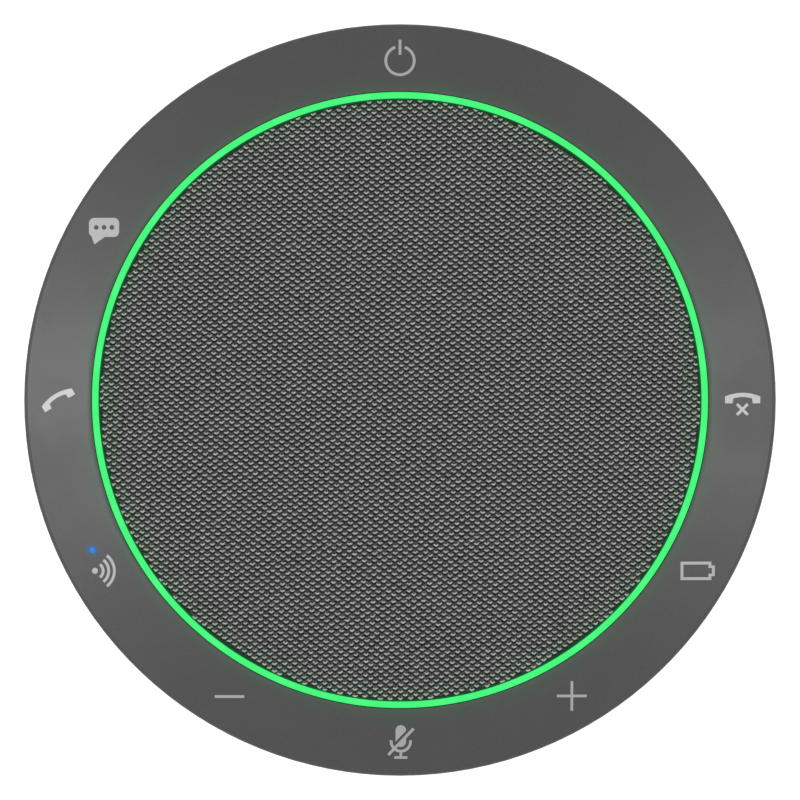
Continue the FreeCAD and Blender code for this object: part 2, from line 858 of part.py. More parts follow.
def plunger(name, step):
    """The moving stem of one tact switch."""
    piece = Piece(f"plunger_{name}")
    piece.raised([Disc(dim.switch_circle, 0.0, dim.plunger_radius)], dim.plunger_bottom, dim.post_bottom)
    piece.placed(dim.key_step * step)


def switch_bodies():
    """Nine tact switch housings on the main board, each with a well for its plunger."""
    piece = Piece("switch_bodies")
    half = dim.switch_width / 2
    outline = rectangle(dim.switch_circle - half, dim.switch_circle + half, -half, half)
    well = Disc(dim.switch_circle, 0.0, dim.plunger_radius + dim.well_gap)
    switch_top = board_top + dim.switch_height
    for step in KEYS.values():
        turn = dim.key_step * step
        piece.raised([outline], board_top, switch_top, turn=turn)
        piece.raised([well], dim.well_floor, switch_top + 1, turn=turn, cut=True)


# ---------------------------------------------------------------------------------------------------------
# Main board
# ---------------------------------------------------------------------------------------------------------

def main_board():
    """Ring-shaped circuit board under the keys and the light trough."""
    piece = Piece("main_board")
    outline = [Disc(0.0, 0.0, dim.board_outer), Disc(0.0, 0.0, dim.board_inner)]
    piece.raised(outline, dim.board_bottom, board_top)
    hole = [Disc(dim.board_screw_circle, 0.0, dim.board_hole)]
    first = piece.raised(hole, dim.board_bottom - 1, board_top + 1, turn=dim.board_screw_angle, cut=True)
    piece.ring_of([first], BOARD_SCREWS)


def block(circle, length, width):
    """Outline of a rectangular part centred on the +X axis at a radius."""
    return rectangle(circle - length / 2, circle + length / 2, -width / 2, width / 2)


def ring_leds():
    """Twenty-four small lamps that shine up into the light ring."""
    piece = Piece("ring_leds")
    lamp = block(dim.led_circle, dim.lamp_length, dim.lamp_width)
    first = piece.raised([lamp], board_top, board_top + dim.lamp_height, turn=dim.lamp_angle)
    piece.ring_of([first], LAMPS)


def status_led():
    piece = Piece("status_led")
    lamp = block(dim.status_circle, dim.lamp_length, dim.status_lamp_width)
    piece.raised([lamp], board_top, board_top + dim.status_lamp_height, turn=dim.status_angle)


def status_light_pipe():
    """Clear pin that stands over its lamp on a small cup and ends flush in the overlay."""
    piece = Piece("status_light_pipe")
    middle = dim.status_circle
    cup_ceiling = board_top + dim.status_cup_depth
    cup_top = board_top + dim.status_cup_height
    pipe_end = rim_height(middle) - 0.1
    piece.spun([
        (middle, cup_ceiling),
        (middle + dim.status_cup - dim.status_cup_wall, cup_ceiling),
        (middle + dim.status_cup - dim.status_cup_wall, board_top),
        (middle + dim.status_cup, board_top),
        (middle + dim.status_cup, cup_top),
        (middle + dim.status_pipe, cup_top),
        (middle + dim.status_pipe, pipe_end),
        (middle, pipe_end),
    ], middle, turn=dim.status_angle)


def microphones():
    """Four small microphones with their sound holes on top."""
    piece = Piece("microphones")
    body_top = board_top + dim.mic_height
    outline = block(dim.mic_circle, dim.mic_length, dim.mic_width)
    can = piece.raised([outline], board_top, body_top, turn=dim.mic_angle)
    piece.ring_of([can], MICROPHONES)
    port = [Disc(dim.mic_circle, 0.0, dim.mic_hole)]
    hole = piece.raised(port, body_top - 0.3, body_top + 1, turn=dim.mic_angle, cut=True)
    piece.ring_of([hole], MICROPHONES)


def mic_boots():
    """Four rubber boots that lead sound from the side ports down to the microphones."""
    piece = Piece("mic_boots")
    outer = dim.skirt_inner - 0.25
    half = dim.boot_width / 2
    boot = piece.raised([rectangle(dim.boot_inner, outer, -half, half)], dim.boot_bottom, dim.boot_top,
                        turn=dim.mic_angle)
    piece.ring_of([boot], MICROPHONES)
    down = piece.raised([Disc(dim.mic_circle, 0.0, dim.boot_bore)], dim.boot_bottom - 1,
                        dim.mic_port_middle, turn=dim.mic_angle, cut=True)
    piece.ring_of([down], MICROPHONES)
    half_port = dim.mic_port_width / 2
    low = dim.mic_port_middle - dim.mic_port_height / 2
    out = piece.raised([rectangle(dim.mic_circle, outer + 2, -half_port, half_port)], low,
                       low + dim.mic_port_height, turn=dim.mic_angle, cut=True)
    piece.ring_of([out], MICROPHONES)


def board_screws():
    """Four screws up into the top casing's board bosses, and two down into the USB board's posts."""
    piece = Piece("board_screws")
    upward = screw_outline(dim.board_screw_circle, dim.small_head, dim.small_shank,
                           dim.board_bottom - dim.small_head_height, dim.board_bottom, board_top + 3.2)
    first = piece.spun(upward, dim.board_screw_circle, turn=dim.board_screw_angle)
    piece.ring_of([first], BOARD_SCREWS)
    circle = root(dim.usb_post_side * dim.usb_post_side + dim.usb_post_back * dim.usb_post_back)
    lean = math.degrees(math.atan2(dim.usb_post_side.number, dim.usb_post_back.number))
    downward = screw_outline(circle, dim.small_head, dim.small_shank,
                             usb_board_top + dim.small_head_height, usb_board_top, usb_board_bottom - 3.2)
    for side in (-1, 1):
        piece.spun(downward, circle, turn=90.0 + side * lean)


def shield_can():
    """Pressed metal can over the radio, under the main board."""
    piece = Piece("shield_can")
    middle = (dim.board_inner + dim.board_outer) / 2
    height = dim.board_bottom - dim.shield_height
    outside = block(middle, dim.shield_length, dim.shield_width)
    piece.raised([outside], height, dim.board_bottom, turn=dim.shield_angle)
    walls = dim.shield_sheet * 2
    inside = block(middle, dim.shield_length - walls, dim.shield_width - walls)
    piece.raised([inside], height + dim.shield_sheet, dim.board_bottom + 1, turn=dim.shield_angle, cut=True)


def board_chips():
    """Processor, amplifier and charger chips under the main board."""
    piece = Piece("board_chips")
    middle = (dim.board_inner + dim.board_outer) / 2
    for turn, side in CHIPS.items():
        chip = block(middle, side, side)
        piece.raised([chip], dim.board_bottom - dim.chip_height, dim.board_bottom, turn=turn)


def board_sockets():
    """Two plug-in sockets under the main board, for the battery and for the speaker."""
    piece = Piece("board_sockets")
    middle = (dim.board_inner + dim.board_outer) / 2
    for turn in (dim.lead_angle_battery, dim.lead_angle_speaker):
        socket = block(middle, dim.socket_length, dim.socket_width)
        piece.raised([socket], socket_bottom, dim.board_bottom, turn=turn)


# ---------------------------------------------------------------------------------------------------------
# Speaker
# ---------------------------------------------------------------------------------------------------------

def driver_frame():
    """Steel basket: flange, sloping wall with four windows, and the ring on the magnet."""
    piece = Piece("driver_frame")
    seat_top = top_plate_top + 1.0
    piece.turned([
        (dim.magnet_inner, top_plate_top),
        (dim.spider_radius + 1.5, top_plate_top),
        (dim.deck_hole - 0.3, flange_bottom),
        (dim.flange_radius, flange_bottom),
        (dim.flange_radius, flange_top),
        (dim.flange_inner, flange_top),
        (dim.spider_radius + 0.5, dim.spider_height),
        (dim.spider_radius - 1.5, dim.spider_height),
        (dim.spider_radius - 1.5, seat_top),
        (dim.magnet_inner, seat_top),
    ])
    window = rectangle(dim.spider_radius + 0.9, dim.deck_hole + 1, dim.spider_height + 0.8,
                       flange_bottom - 0.6)
    first = piece.turned(window, sweep=dim.basket_window, cut=True)
    piece.ring_of([first], 4)
    hole = [Disc(dim.driver_screw_circle, 0.0, dim.basket_hole)]
    bore = piece.raised(hole, flange_bottom - 1, flange_top + 1, turn=dim.driver_screw_angle, cut=True)
    piece.ring_of([bore], DRIVER_SCREWS)


def driver_gasket():
    """Foam ring between the driver's flange and the deck."""
    piece = Piece("driver_gasket")
    outline = [Disc(0.0, 0.0, dim.flange_radius), Disc(0.0, 0.0, dim.deck_hole + 0.3)]
    piece.raised(outline, deck_top, flange_bottom)
    hole = [Disc(dim.driver_screw_circle, 0.0, dim.gasket_screw_hole)]
    bore = piece.raised(hole, deck_top - 1, flange_bottom + 1, turn=dim.driver_screw_angle, cut=True)
    piece.ring_of([bore], DRIVER_SCREWS)


def driver_screws():
    piece = Piece("driver_screws")
    outline = screw_outline(dim.driver_screw_circle, dim.screw_head, dim.screw_shank,
                            flange_top + dim.screw_head_height, flange_top, dim.deck_bottom - 1.6)
    first = piece.spun(outline, dim.driver_screw_circle, turn=dim.driver_screw_angle)
    piece.ring_of([first], DRIVER_SCREWS)


def driver_yoke():
    """Steel back plate with the centre pole."""
    Piece("driver_yoke").turned([
        (0.0, dim.yoke_bottom),
        (dim.yoke_radius, dim.yoke_bottom),
        (dim.yoke_radius, magnet_bottom),
        (dim.pole_radius, magnet_bottom),
        (dim.pole_radius, top_plate_top),
        (0.0, top_plate_top),
    ])


def driver_magnet():
    Piece("driver_magnet").turned(rectangle(dim.magnet_inner, dim.magnet_radius, magnet_bottom, magnet_top))


def driver_top_plate():
    Piece("driver_top_plate").turned(
        rectangle(dim.top_plate_hole, dim.yoke_radius, magnet_top, top_plate_top))


def driver_terminals():
    """Small terminal plate under the basket's ring."""
    piece = Piece("driver_terminals")
    left = dim.magnet_radius + 0.2
    half = dim.terminal_width / 2
    plate = rectangle(left, left + dim.terminal_length, -half, half)
    low = top_plate_top - dim.terminal_sheet
    piece.raised([plate], low, top_plate_top, turn=dim.lead_angle_speaker)


def voice_coil():
    Piece("voice_coil").turned(rectangle(dim.coil_inner, dim.coil_outer, dim.coil_bottom, dim.coil_top))


def cone():
    """Thin paper cone from the coil up to the surround."""
    neck = dim.coil_outer + 0.02
    Piece("cone").turned(sheet([
        (neck, dim.coil_top - 1.0),
        (dim.cone_edge - 1.2, flange_top - dim.cone_sheet - 0.05),
        (dim.cone_edge, flange_top - dim.cone_sheet - 0.05),
    ], dim.cone_sheet))


def dust_cap():
    """Domed cap over the voice coil."""
    edge = dim.coil_outer
    rise = dim.cap_rise
    arc = (edge * edge + rise * rise) / (rise * 2)
    low = dim.coil_top + 0.05
    Piece("dust_cap").turned([
        (0.0, low + rise),
        (edge, low, -arc),
        (edge, low + dim.cone_sheet),
        (0.0, low + rise + dim.cone_sheet, arc),
    ])


def surround():
    """Rubber half roll between the cone's edge and the flange."""
    roll_outer = dim.flange_inner + 0.1
    Piece("surround").turned(sheet([
        (dim.roll_inner - 1.3, flange_top),
        (dim.roll_inner, flange_top),
        (roll_outer, flange_top, -dim.roll_radius),
        (roll_outer + 2.4, flange_top),
    ], dim.roll_sheet))


def spider():
    """Corrugated cloth disc that centres the voice coil."""
    inner = dim.coil_outer + 0.05
    waves = 6
    pitch = (dim.spider_radius - dim.spider_ledge - inner) / waves
    path = [(inner, dim.spider_height)]
    for wave in range(1, waves + 1):
        bend = pitch * 0.7
        path.append((inner + pitch * wave, dim.spider_height, -bend if wave % 2 else bend))
    path.append((dim.spider_radius, dim.spider_height))
    Piece("spider").turned(sheet(path, dim.spider_sheet))


def speaker_box():
    """Closed cup behind the driver, hung from the deck by six ears."""
    piece = Piece("speaker_box")
    inner = dim.box_radius - dim.box_wall
    rim = dim.deck_bottom - dim.box_seal
    floor_top = dim.box_bottom + dim.box_floor
    piece.turned([
        (0.0, dim.box_bottom),
        (dim.box_radius - dim.box_corner, dim.box_bottom),
        (dim.box_radius, dim.box_bottom + dim.box_corner, dim.box_corner),
        (dim.box_radius, rim),
        (inner, rim),
        (inner, floor_top),
        (0.0, floor_top),
    ])
    half = dim.ear_half
    # A hair wider than a half circle, so that the round end stays the shorter of its two arcs.
    ear_outline = [
        (inner + 0.7, -half),
        (dim.box_screw_circle, -half),
        (dim.box_screw_circle, half, half * 1.001),
        (inner + 0.7, half),
    ]
    ear = piece.raised([ear_outline], dim.ear_bottom, rim, turn=dim.box_screw_angle)
    piece.ring_of([ear], BOX_SCREWS)
    hole = [Disc(dim.box_screw_circle, 0.0, dim.basket_hole)]
    bore = piece.raised(hole, dim.ear_bottom - 1, dim.deck_bottom + 1, turn=dim.box_screw_angle, cut=True)
    piece.ring_of([bore], BOX_SCREWS)
    width = dim.speaker_lead_radius + 0.3
    gap = rectangle(inner - 2, dim.box_radius + 2, -width, width)
    piece.raised([gap], dim.terminal_height - width, dim.terminal_height + width,
                 turn=dim.lead_angle_speaker, cut=True)


def speaker_box_seal():
    """Foam ring and pads between the speaker box and the deck."""
    inner = dim.box_radius - dim.box_wall
    rim = dim.deck_bottom - dim.box_seal
    Piece("speaker_box_seal").turned(rectangle(inner, dim.box_radius, rim, dim.deck_bottom))


def speaker_box_screws():
    piece = Piece("speaker_box_screws")
    outline = screw_outline(dim.box_screw_circle, dim.screw_head, dim.screw_shank,
                            dim.ear_bottom - dim.screw_head_height, dim.ear_bottom, deck_top + 1.1)
    first = piece.spun(outline, dim.box_screw_circle, turn=dim.box_screw_angle)
    piece.ring_of([first], BOX_SCREWS)


# ---------------------------------------------------------------------------------------------------------
# USB socket, battery and leads
# ---------------------------------------------------------------------------------------------------------

def usb_board():
    """Small board on two posts that carries the USB socket."""
    piece = Piece("usb_board")
    half = dim.usb_board_width / 2
    outline = rectangle(-half, half, dim.usb_board_front, dim.usb_board_back)
    bores = [Disc(dim.usb_post_side * side, dim.usb_post_back, dim.board_hole) for side in (-1, 1)]
    piece.raised([outline] + bores, usb_board_bottom, usb_board_top)


def usb_socket():
    """USB type C receptacle: steel shell, closed at the back, with the contact tongue in the middle."""
    piece = Piece("usb_socket")
    back = dim.usb_mouth - dim.usb_length
    shell = rounded_rectangle(dim.usb_width, dim.usb_height, dim.usb_height / 2 - 0.05, dim.usb_middle)
    piece.raised([shell], back, dim.usb_mouth, plane="XZ_Plane")
    clear_width = dim.usb_width - dim.usb_shell * 2
    clear_height = dim.usb_height - dim.usb_shell * 2
    inside = rounded_rectangle(clear_width, clear_height, clear_height / 2 - 0.05, dim.usb_middle)
    piece.raised([inside], back + 1, dim.usb_mouth + 1, plane="XZ_Plane", cut=True)
    tongue = rounded_rectangle(dim.tongue_width, dim.tongue_height, dim.tongue_corner, dim.usb_middle)
    piece.raised([tongue], back + 0.5, dim.usb_mouth - 0.8, plane="XZ_Plane")


def usb_flex():
    """Flat cable from the USB board up to the underside of the main board."""
    piece = Piece("usb_flex")
    sheet_gap = dim.flex_sheet
    near = dim.usb_board_front + 0.4
    low = usb_board_top
    high = dim.board_bottom
    small = dim.flex_small_bend
    large = dim.flex_large_bend
    drawn = [
        (near + small + 0.8, low),
        (near + small + 0.8, low + sheet_gap),
        (near + small, low + sheet_gap),
        (near + sheet_gap, low + small, sheet_gap - small),
        (near + sheet_gap, high - large),
        (near + large, high - sheet_gap, sheet_gap - large),
        (near + large + 5.5, high - sheet_gap),
        (near + large + 5.5, high),
        (near + large, high),
        (near, high - large, large),
        (near, low + small),
        (near + small, low, small),
    ]
    piece.raised([drawn], -dim.flex_far, -dim.flex_near, plane="XZ_Plane")
    piece.placed(dim.usb_turn)


def battery_pad():
    """Foam pad under the battery."""
    inset = dim.pad_inset * 2
    outline = rounded_rectangle(dim.battery_length - inset, dim.battery_width - inset, dim.pad_corner)
    Piece("battery_pad").raised([outline], dim.floor_height, battery_bottom)


def battery_pack():
    """Flat lithium pack in its wrapper."""
    piece = Piece("battery_pack")
    outline = rounded_rectangle(dim.battery_length, dim.battery_width, dim.battery_corner)
    piece.raised([outline], battery_bottom, battery_bottom + dim.battery_height)


def lead(name, turn, radius, start, corner, end):
    """A round lead in an upright plane through the disc's axis: level run, arc, rising run."""
    piece = Piece(name)
    first = Vector(corner[0].number - start[0].number, corner[1].number - start[1].number, 0)
    second = Vector(end[0].number - corner[0].number, end[1].number - corner[1].number, 0)
    reach = 0.45 * min(first.Length, second.Length)
    bend = reach / math.tan(first.getAngle(second) / 2)
    rise = second.normalize()
    path = piece.body.newObject("Sketcher::SketchObject", f"{name}_path")
    path.AttachmentSupport = [(piece.datum("XZ_Plane"), "")]
    path.MapMode = "FlatFace"
    before = (corner[0] - reach, corner[1])
    after = (corner[0] + rise.x * reach, corner[1] + rise.y * reach)
    points = [Vector(p[0].number, p[1].number, 0) for p in (start, before, after, end)]
    middle = bulge_centre(points[1], points[2], bend)
    angles = [math.atan2(p.y - middle.y, p.x - middle.x) for p in points[1:3]]
    path.addGeometry(Part.LineSegment(points[0], points[1]), False)
    path.addGeometry(Part.ArcOfCircle(Part.Circle(middle, Vector(0, 0, 1), bend), *angles), False)
    path.addGeometry(Part.LineSegment(points[2], points[3]), False)
    bind_point(path, 0, 1, *start)
    bind_point(path, 0, 2, *before)
    bind_point(path, 2, 1, *after)
    bind_point(path, 2, 2, *end)
    path.addConstraint(Sketcher.Constraint("Coincident", 0, 2, 1, 1))
    path.addConstraint(Sketcher.Constraint("Coincident", 1, 2, 2, 1))
    section = piece.sketch("YZ_Plane", [Disc(0.0, start[1], radius)], lift=start[0])
    pipe = piece.body.newObject("PartDesign::AdditivePipe", f"{name}_pipe")
    pipe.Profile = section
    pipe.Spine = (path, ["Edge1", "Edge2", "Edge3"])
    piece.placed(turn)


def battery_lead():
    start_radius = dim.battery_length / 2 + 2.8
    height = battery_bottom + dim.battery_height / 2
    middle = (dim.board_inner + dim.board_outer) / 2
    lead("battery_lead", dim.lead_angle_battery, dim.battery_lead_radius,
         (start_radius, height), (middle - 3.8, height), (middle, socket_bottom - 0.3))


def speaker_lead():
    start_radius = dim.magnet_radius + 4.8
    middle = (dim.board_inner + dim.board_outer) / 2
    lead("speaker_lead", dim.lead_angle_speaker, dim.speaker_lead_radius,
         (start_radius, dim.terminal_height), (dim.case_screw_circle, dim.terminal_height),
         (middle - 2.5, socket_bottom + dim.socket_height / 2))


# ---------------------------------------------------------------------------------------------------------
# The whole assembly
# ---------------------------------------------------------------------------------------------------------

SUB_PARTS = [
    control_overlay, top_casing, light_ring, grille_frame, grille_fabric, bottom_casing, casing_seal,
    foot_ring, case_screws, switch_bodies, main_board, ring_leds, status_led, status_light_pipe, microphones,
    mic_boots, board_screws, shield_can, board_chips, board_sockets, driver_frame, driver_gasket,
    driver_screws, driver_yoke, driver_magnet, driver_top_plate, driver_terminals, voice_coil, cone,
    dust_cap, surround, spider, speaker_box, speaker_box_seal, speaker_box_screws, usb_board, usb_socket,
    usb_flex, battery_pad, battery_pack, battery_lead, speaker_lead,
]

for make in SUB_PARTS:
    make()
for key_name, key_place in KEYS.items():
    key(key_name, key_place)
    plunger(key_name, key_place)

doc.recompute()

failed = [o.Label for o in doc.Objects if {"Invalid", "Error"} & set(o.State)]
failed += [p.Label for p in pieces if p.Shape.isNull() or not p.Shape.isValid() or p.Shape.Volume <= 0]
if failed:
    raise RuntimeError("not built: " + ", ".join(failed))

os.makedirs("parts", exist_ok=True)
for piece in pieces:
    piece.Shape.exportStep(f"parts/{piece.Label}.step")
print(f"{len(pieces)} sub-parts written")
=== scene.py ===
# Looks of the conference speakerphone: camera, light, materials, the flexing rim film with its printed
# legends, and the woven grille cloth. Everything is in metres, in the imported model's own frame.

import math
import random

import bmesh
import bpy
from mathutils import Matrix, Vector


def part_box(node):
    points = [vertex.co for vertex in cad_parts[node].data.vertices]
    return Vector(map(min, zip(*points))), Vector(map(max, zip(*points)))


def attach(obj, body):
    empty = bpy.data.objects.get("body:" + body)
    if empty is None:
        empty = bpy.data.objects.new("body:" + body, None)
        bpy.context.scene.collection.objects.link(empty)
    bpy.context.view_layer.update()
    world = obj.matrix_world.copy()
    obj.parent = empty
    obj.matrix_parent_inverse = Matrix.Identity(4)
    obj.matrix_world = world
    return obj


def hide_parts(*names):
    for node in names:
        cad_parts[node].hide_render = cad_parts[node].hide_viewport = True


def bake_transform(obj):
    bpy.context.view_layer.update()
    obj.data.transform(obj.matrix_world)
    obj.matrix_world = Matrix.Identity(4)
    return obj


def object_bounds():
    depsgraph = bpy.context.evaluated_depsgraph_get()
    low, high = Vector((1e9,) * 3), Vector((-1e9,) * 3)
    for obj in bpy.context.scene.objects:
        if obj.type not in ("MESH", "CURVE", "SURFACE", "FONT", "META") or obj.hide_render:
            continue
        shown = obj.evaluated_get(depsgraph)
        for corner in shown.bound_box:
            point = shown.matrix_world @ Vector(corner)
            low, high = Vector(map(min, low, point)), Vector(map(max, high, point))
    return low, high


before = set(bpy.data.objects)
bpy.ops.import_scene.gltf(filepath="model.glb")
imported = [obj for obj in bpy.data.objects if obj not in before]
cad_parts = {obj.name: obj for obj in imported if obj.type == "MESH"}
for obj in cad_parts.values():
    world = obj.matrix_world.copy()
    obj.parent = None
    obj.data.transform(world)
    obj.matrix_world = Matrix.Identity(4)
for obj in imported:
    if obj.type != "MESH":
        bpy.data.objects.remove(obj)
cad_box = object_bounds()

MM = 0.001
HOUSING = "housing"

# Steps of 30 degrees anticlockwise from +X, by the key's name.
KEY_STEPS = {
    "hang_up": 0,
    "power": 3,
    "meeting": 5,
    "answer": 6,
    "pairing": 7,
    "volume_down": 8,
    "mute": 9,
    "volume_up": 10,
    "battery": 11,
}


# ---------------------------------------------------------------------------------------------------------
# Sizes read from the frame
# ---------------------------------------------------------------------------------------------------------

def node_points(name):
    return [v.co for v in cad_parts[name].data.vertices]


def radius_range(name):
    radii = [p.xy.length for p in node_points(name)]
    return min(radii), max(radii)


FILM_INNER, FILM_OUTER = radius_range("control_overlay")
FILM_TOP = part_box("control_overlay")[1][2]
FILM_EDGE_TOP = max(p.z for p in node_points("control_overlay") if p.xy.length > FILM_OUTER - 0.1 * MM)
FILM_FALL = (FILM_TOP - FILM_EDGE_TOP) / (FILM_OUTER - FILM_INNER)
FILM_SHEET = FILM_EDGE_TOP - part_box("control_overlay")[0][2]
KEY_INNER = min(p.xy.length for p in node_points("key_mute") if p.z > FILM_EDGE_TOP - MM)
KEY_OUTER = max(p.xy.length for p in node_points("key_mute") if p.z > FILM_EDGE_TOP - MM)
KEY_HALF = max(p.x for p in node_points("key_mute") if p.z > FILM_EDGE_TOP - MM)
LEGEND_RADIUS = (KEY_INNER + KEY_OUTER) / 2 + 0.3 * MM
CLOTH_OUTER = radius_range("grille_fabric")[1]
CLOTH_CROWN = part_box("grille_fabric")[1][2]
CLOTH_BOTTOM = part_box("grille_fabric")[0][2]
CLOTH_WRAP = 0.4 * MM
DOME_FOOT = CLOTH_OUTER - CLOTH_WRAP
DOME_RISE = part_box("grille_frame")[1][2] - max(
    p.z for p in node_points("grille_frame") if p.xy.length > DOME_FOOT - 0.2 * MM)
DOME_RADIUS = (DOME_FOOT ** 2 + DOME_RISE ** 2) / (2 * DOME_RISE)
RING_INNER = min(p.xy.length for p in node_points("light_ring") if p.z > FILM_EDGE_TOP)
RING_OUTER = radius_range("light_ring")[1]
RING_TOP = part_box("light_ring")[1][2]
BASE = cad_box[0][2]


def status_place():
    """Where the status light comes through the film."""
    points = node_points("status_light_pipe")
    return sum(p.x for p in points) / len(points), sum(p.y for p in points) / len(points)


def film_height(x, y):
    """Height of the rim film's sloping face over a point."""
    return FILM_TOP - (math.hypot(x, y) - FILM_INNER) * FILM_FALL


def cloth_height(x, y):
    """Height of the cloth's dome over a point, rounded over at the grille's edge."""
    radius = math.hypot(x, y)
    if radius <= DOME_FOOT:
        return CLOTH_CROWN - DOME_RADIUS + math.sqrt(DOME_RADIUS ** 2 - radius ** 2)
    drop = min(radius - DOME_FOOT, CLOTH_WRAP)
    return CLOTH_CROWN - DOME_RISE - CLOTH_WRAP + math.sqrt(CLOTH_WRAP ** 2 - drop ** 2)


# ---------------------------------------------------------------------------------------------------------
# Materials
# ---------------------------------------------------------------------------------------------------------

class Finish:
    """A Principled material with short calls for the nodes that shape it."""

    def __init__(self, name, roughness=0.5, metallic=0.0, **sockets):
        self.material = bpy.data.materials.new(name)
        self.material.use_nodes = True
        self.tree = self.material.node_tree
        self.shader = self.tree.nodes["Principled BSDF"]
        self.shader.inputs["Roughness"].default_value = roughness
        self.shader.inputs["Metallic"].default_value = metallic
        for socket, value in sockets.items():
            self.shader.inputs[socket.replace("_", " ")].default_value = value
        self.place = self.node("ShaderNodeTexCoord").outputs["Object"]

    def node(self, kind, **settings):
        made = self.tree.nodes.new(kind)
        for key, value in settings.items():
            setattr(made, key, value)
        return made

    def feed(self, socket, value):
        """Links an output to a socket, or sets the socket to a constant."""
        if isinstance(value, bpy.types.NodeSocket):
            self.tree.links.new(value, socket)
        else:
            socket.default_value = value

    def noise(self, scale, detail=3.0, roughness=0.55, place=None):
        made = self.node("ShaderNodeTexNoise")
        made.inputs["Scale"].default_value = scale
        made.inputs["Detail"].default_value = detail
        made.inputs["Roughness"].default_value = roughness
        self.feed(made.inputs["Vector"], place or self.place)
        return made.outputs["Fac"]

    def stretched(self, x, y, z):
        """The object's coordinates, scaled along each axis."""
        made = self.node("ShaderNodeMapping")
        made.inputs["Scale"].default_value = (x, y, z)
        self.feed(made.inputs["Vector"], self.place)
        return made.outputs["Vector"]

    def axes(self):
        made = self.node("ShaderNodeSeparateXYZ")
        self.feed(made.inputs["Vector"], self.place)
        return made.outputs["X"], made.outputs["Y"], made.outputs["Z"]

    def math(self, operation, first, second=0.0):
        made = self.node("ShaderNodeMath", operation=operation)
        for socket, value in zip(made.inputs, (first, second)):
            self.feed(socket, value)
        return made.outputs[0]

    def span(self, value, low, high, out_low=0.0, out_high=1.0):
        """Maps a range to another, held at both ends."""
        made = self.node("ShaderNodeMapRange", interpolation_type="SMOOTHSTEP")
        for socket, number in zip(made.inputs, (value, low, high, out_low, out_high)):
            self.feed(socket, number)
        return made.outputs["Result"]

    def blend(self, factor, first, second):
        made = self.node("ShaderNodeMix", data_type="RGBA")
        self.feed(made.inputs["Factor"], factor)
        colours = [socket for socket in made.inputs if socket.type == "RGBA"]
        self.feed(colours[0], first)
        self.feed(colours[1], second)
        return next(socket for socket in made.outputs if socket.type == "RGBA")

    def radius(self, centre_x=0.0, centre_y=0.0):
        """Distance from an upright line through a point."""
        x, y, _ = self.axes()
        across = self.math("POWER", self.math("SUBTRACT", x, centre_x), 2.0)
        along = self.math("POWER", self.math("SUBTRACT", y, centre_y), 2.0)
        return self.math("SQRT", self.math("ADD", across, along))

    def colour(self, value):
        self.feed(self.shader.inputs["Base Color"], value)
        return self

    def rough(self, value):
        self.feed(self.shader.inputs["Roughness"], value)
        return self

    def bump(self, height, distance, strength):
        made = self.node("ShaderNodeBump")
        made.inputs["Strength"].default_value = strength
        made.inputs["Distance"].default_value = distance
        self.feed(made.inputs["Height"], height)
        self.feed(self.shader.inputs["Normal"], made.outputs["Normal"])
        return self


def grey(level, tint=(1.0, 1.0, 1.0)):
    return (level * tint[0], level * tint[1], level * tint[2], 1.0)


def rgb(red, green, blue):
    return (red, green, blue, 1.0)


LIT_GREEN = rgb(0.045, 0.88, 0.175)
LIT_GREEN_HOT = rgb(0.085, 0.96, 0.225)
UNLIT_GREEN = rgb(0.006, 0.10, 0.028)
LIT_DEPTH = 0.8 * MM
RING_LAMPS = 24
FILM_GRAIN = 5200.0
# How far the painted glow of the lights reaches: the ring's green on the film, the status light's blue on the
# film, and the ring's green on the cloth.
FILM_PAINTED_GLOW_REACH = 3.6 * MM
STATUS_PAINTED_GLOW = (0.4 * MM, 1.4 * MM)
CLOTH_PAINTED_GLOW_REACH = 4.5 * MM


def soft_touch_film():
    """Matt film: fine grain, faint handling marks, and painted glow: the ring's green and the status light's
    blue painted into its colour close to them.
    """
    film = Finish("rim_film", 0.36)
    grain = film.noise(FILM_GRAIN, 4.0, 0.7)
    marks = film.noise(55.0, 3.0, 0.6)
    tone = film.blend(film.span(grain, 0.3, 0.7), grey(0.037), grey(0.056))
    tone = film.blend(film.math("MULTIPLY", marks, 0.25), tone, grey(0.056, (1.0, 1.0, 1.02)))
    # Painted glow: the ring's green painted into the film's colour near its inner edge, fading outwards.
    painted_glow = film.span(film.radius(), FILM_INNER, FILM_INNER + FILM_PAINTED_GLOW_REACH, 1.0, 0.0)
    tone = film.blend(film.math("MULTIPLY", painted_glow, 0.5), tone, rgb(0.036, 0.072, 0.040))
    # Painted glow: the status light's blue painted into the film's colour round the light.
    tint = film.span(film.radius(*status_place()), *STATUS_PAINTED_GLOW, 0.75, 0.0)
    film.colour(film.blend(tint, tone, rgb(0.010, 0.075, 0.200)))
    film.rough(film.span(marks, 0.35, 0.65, 0.31, 0.36))
    film.bump(grain, 0.010 * MM, 0.8)
    return film.material


def printed_ink():
    """Pale silvery pad print, slightly uneven where it sits on the film's grain."""
    ink = Finish("legend_ink", 0.34, 0.3)
    grain = ink.noise(FILM_GRAIN, 4.0, 0.7)
    ink.colour(ink.blend(grain, grey(0.32, (0.99, 1.0, 0.99)), grey(0.40, (0.99, 1.0, 0.99))))
    ink.bump(grain, 0.005 * MM, 0.7)
    return ink.material


def moulded_plastic(name, level):
    """Spark-eroded dark plastic, with patches a touch smoother, and paler on its sharp outward edges."""
    plastic = Finish(name, 0.45)
    grain = plastic.noise(3800.0, 4.0, 0.65)
    patch = plastic.noise(60.0, 3.0, 0.6)
    # Paler where the surface is sharply convex, read from the mesh's pointiness.
    outward_edges = plastic.node("ShaderNodeNewGeometry").outputs["Pointiness"]
    tone = plastic.blend(grain, grey(level * 0.8), grey(level * 1.2))
    plastic.colour(plastic.blend(plastic.span(outward_edges, 0.52, 0.62, 0.0, 0.35), tone, grey(level * 2.0)))
    plastic.rough(plastic.span(patch, 0.3, 0.7, 0.40, 0.50))
    plastic.bump(grain, 0.014 * MM, 0.8)
    return plastic.material


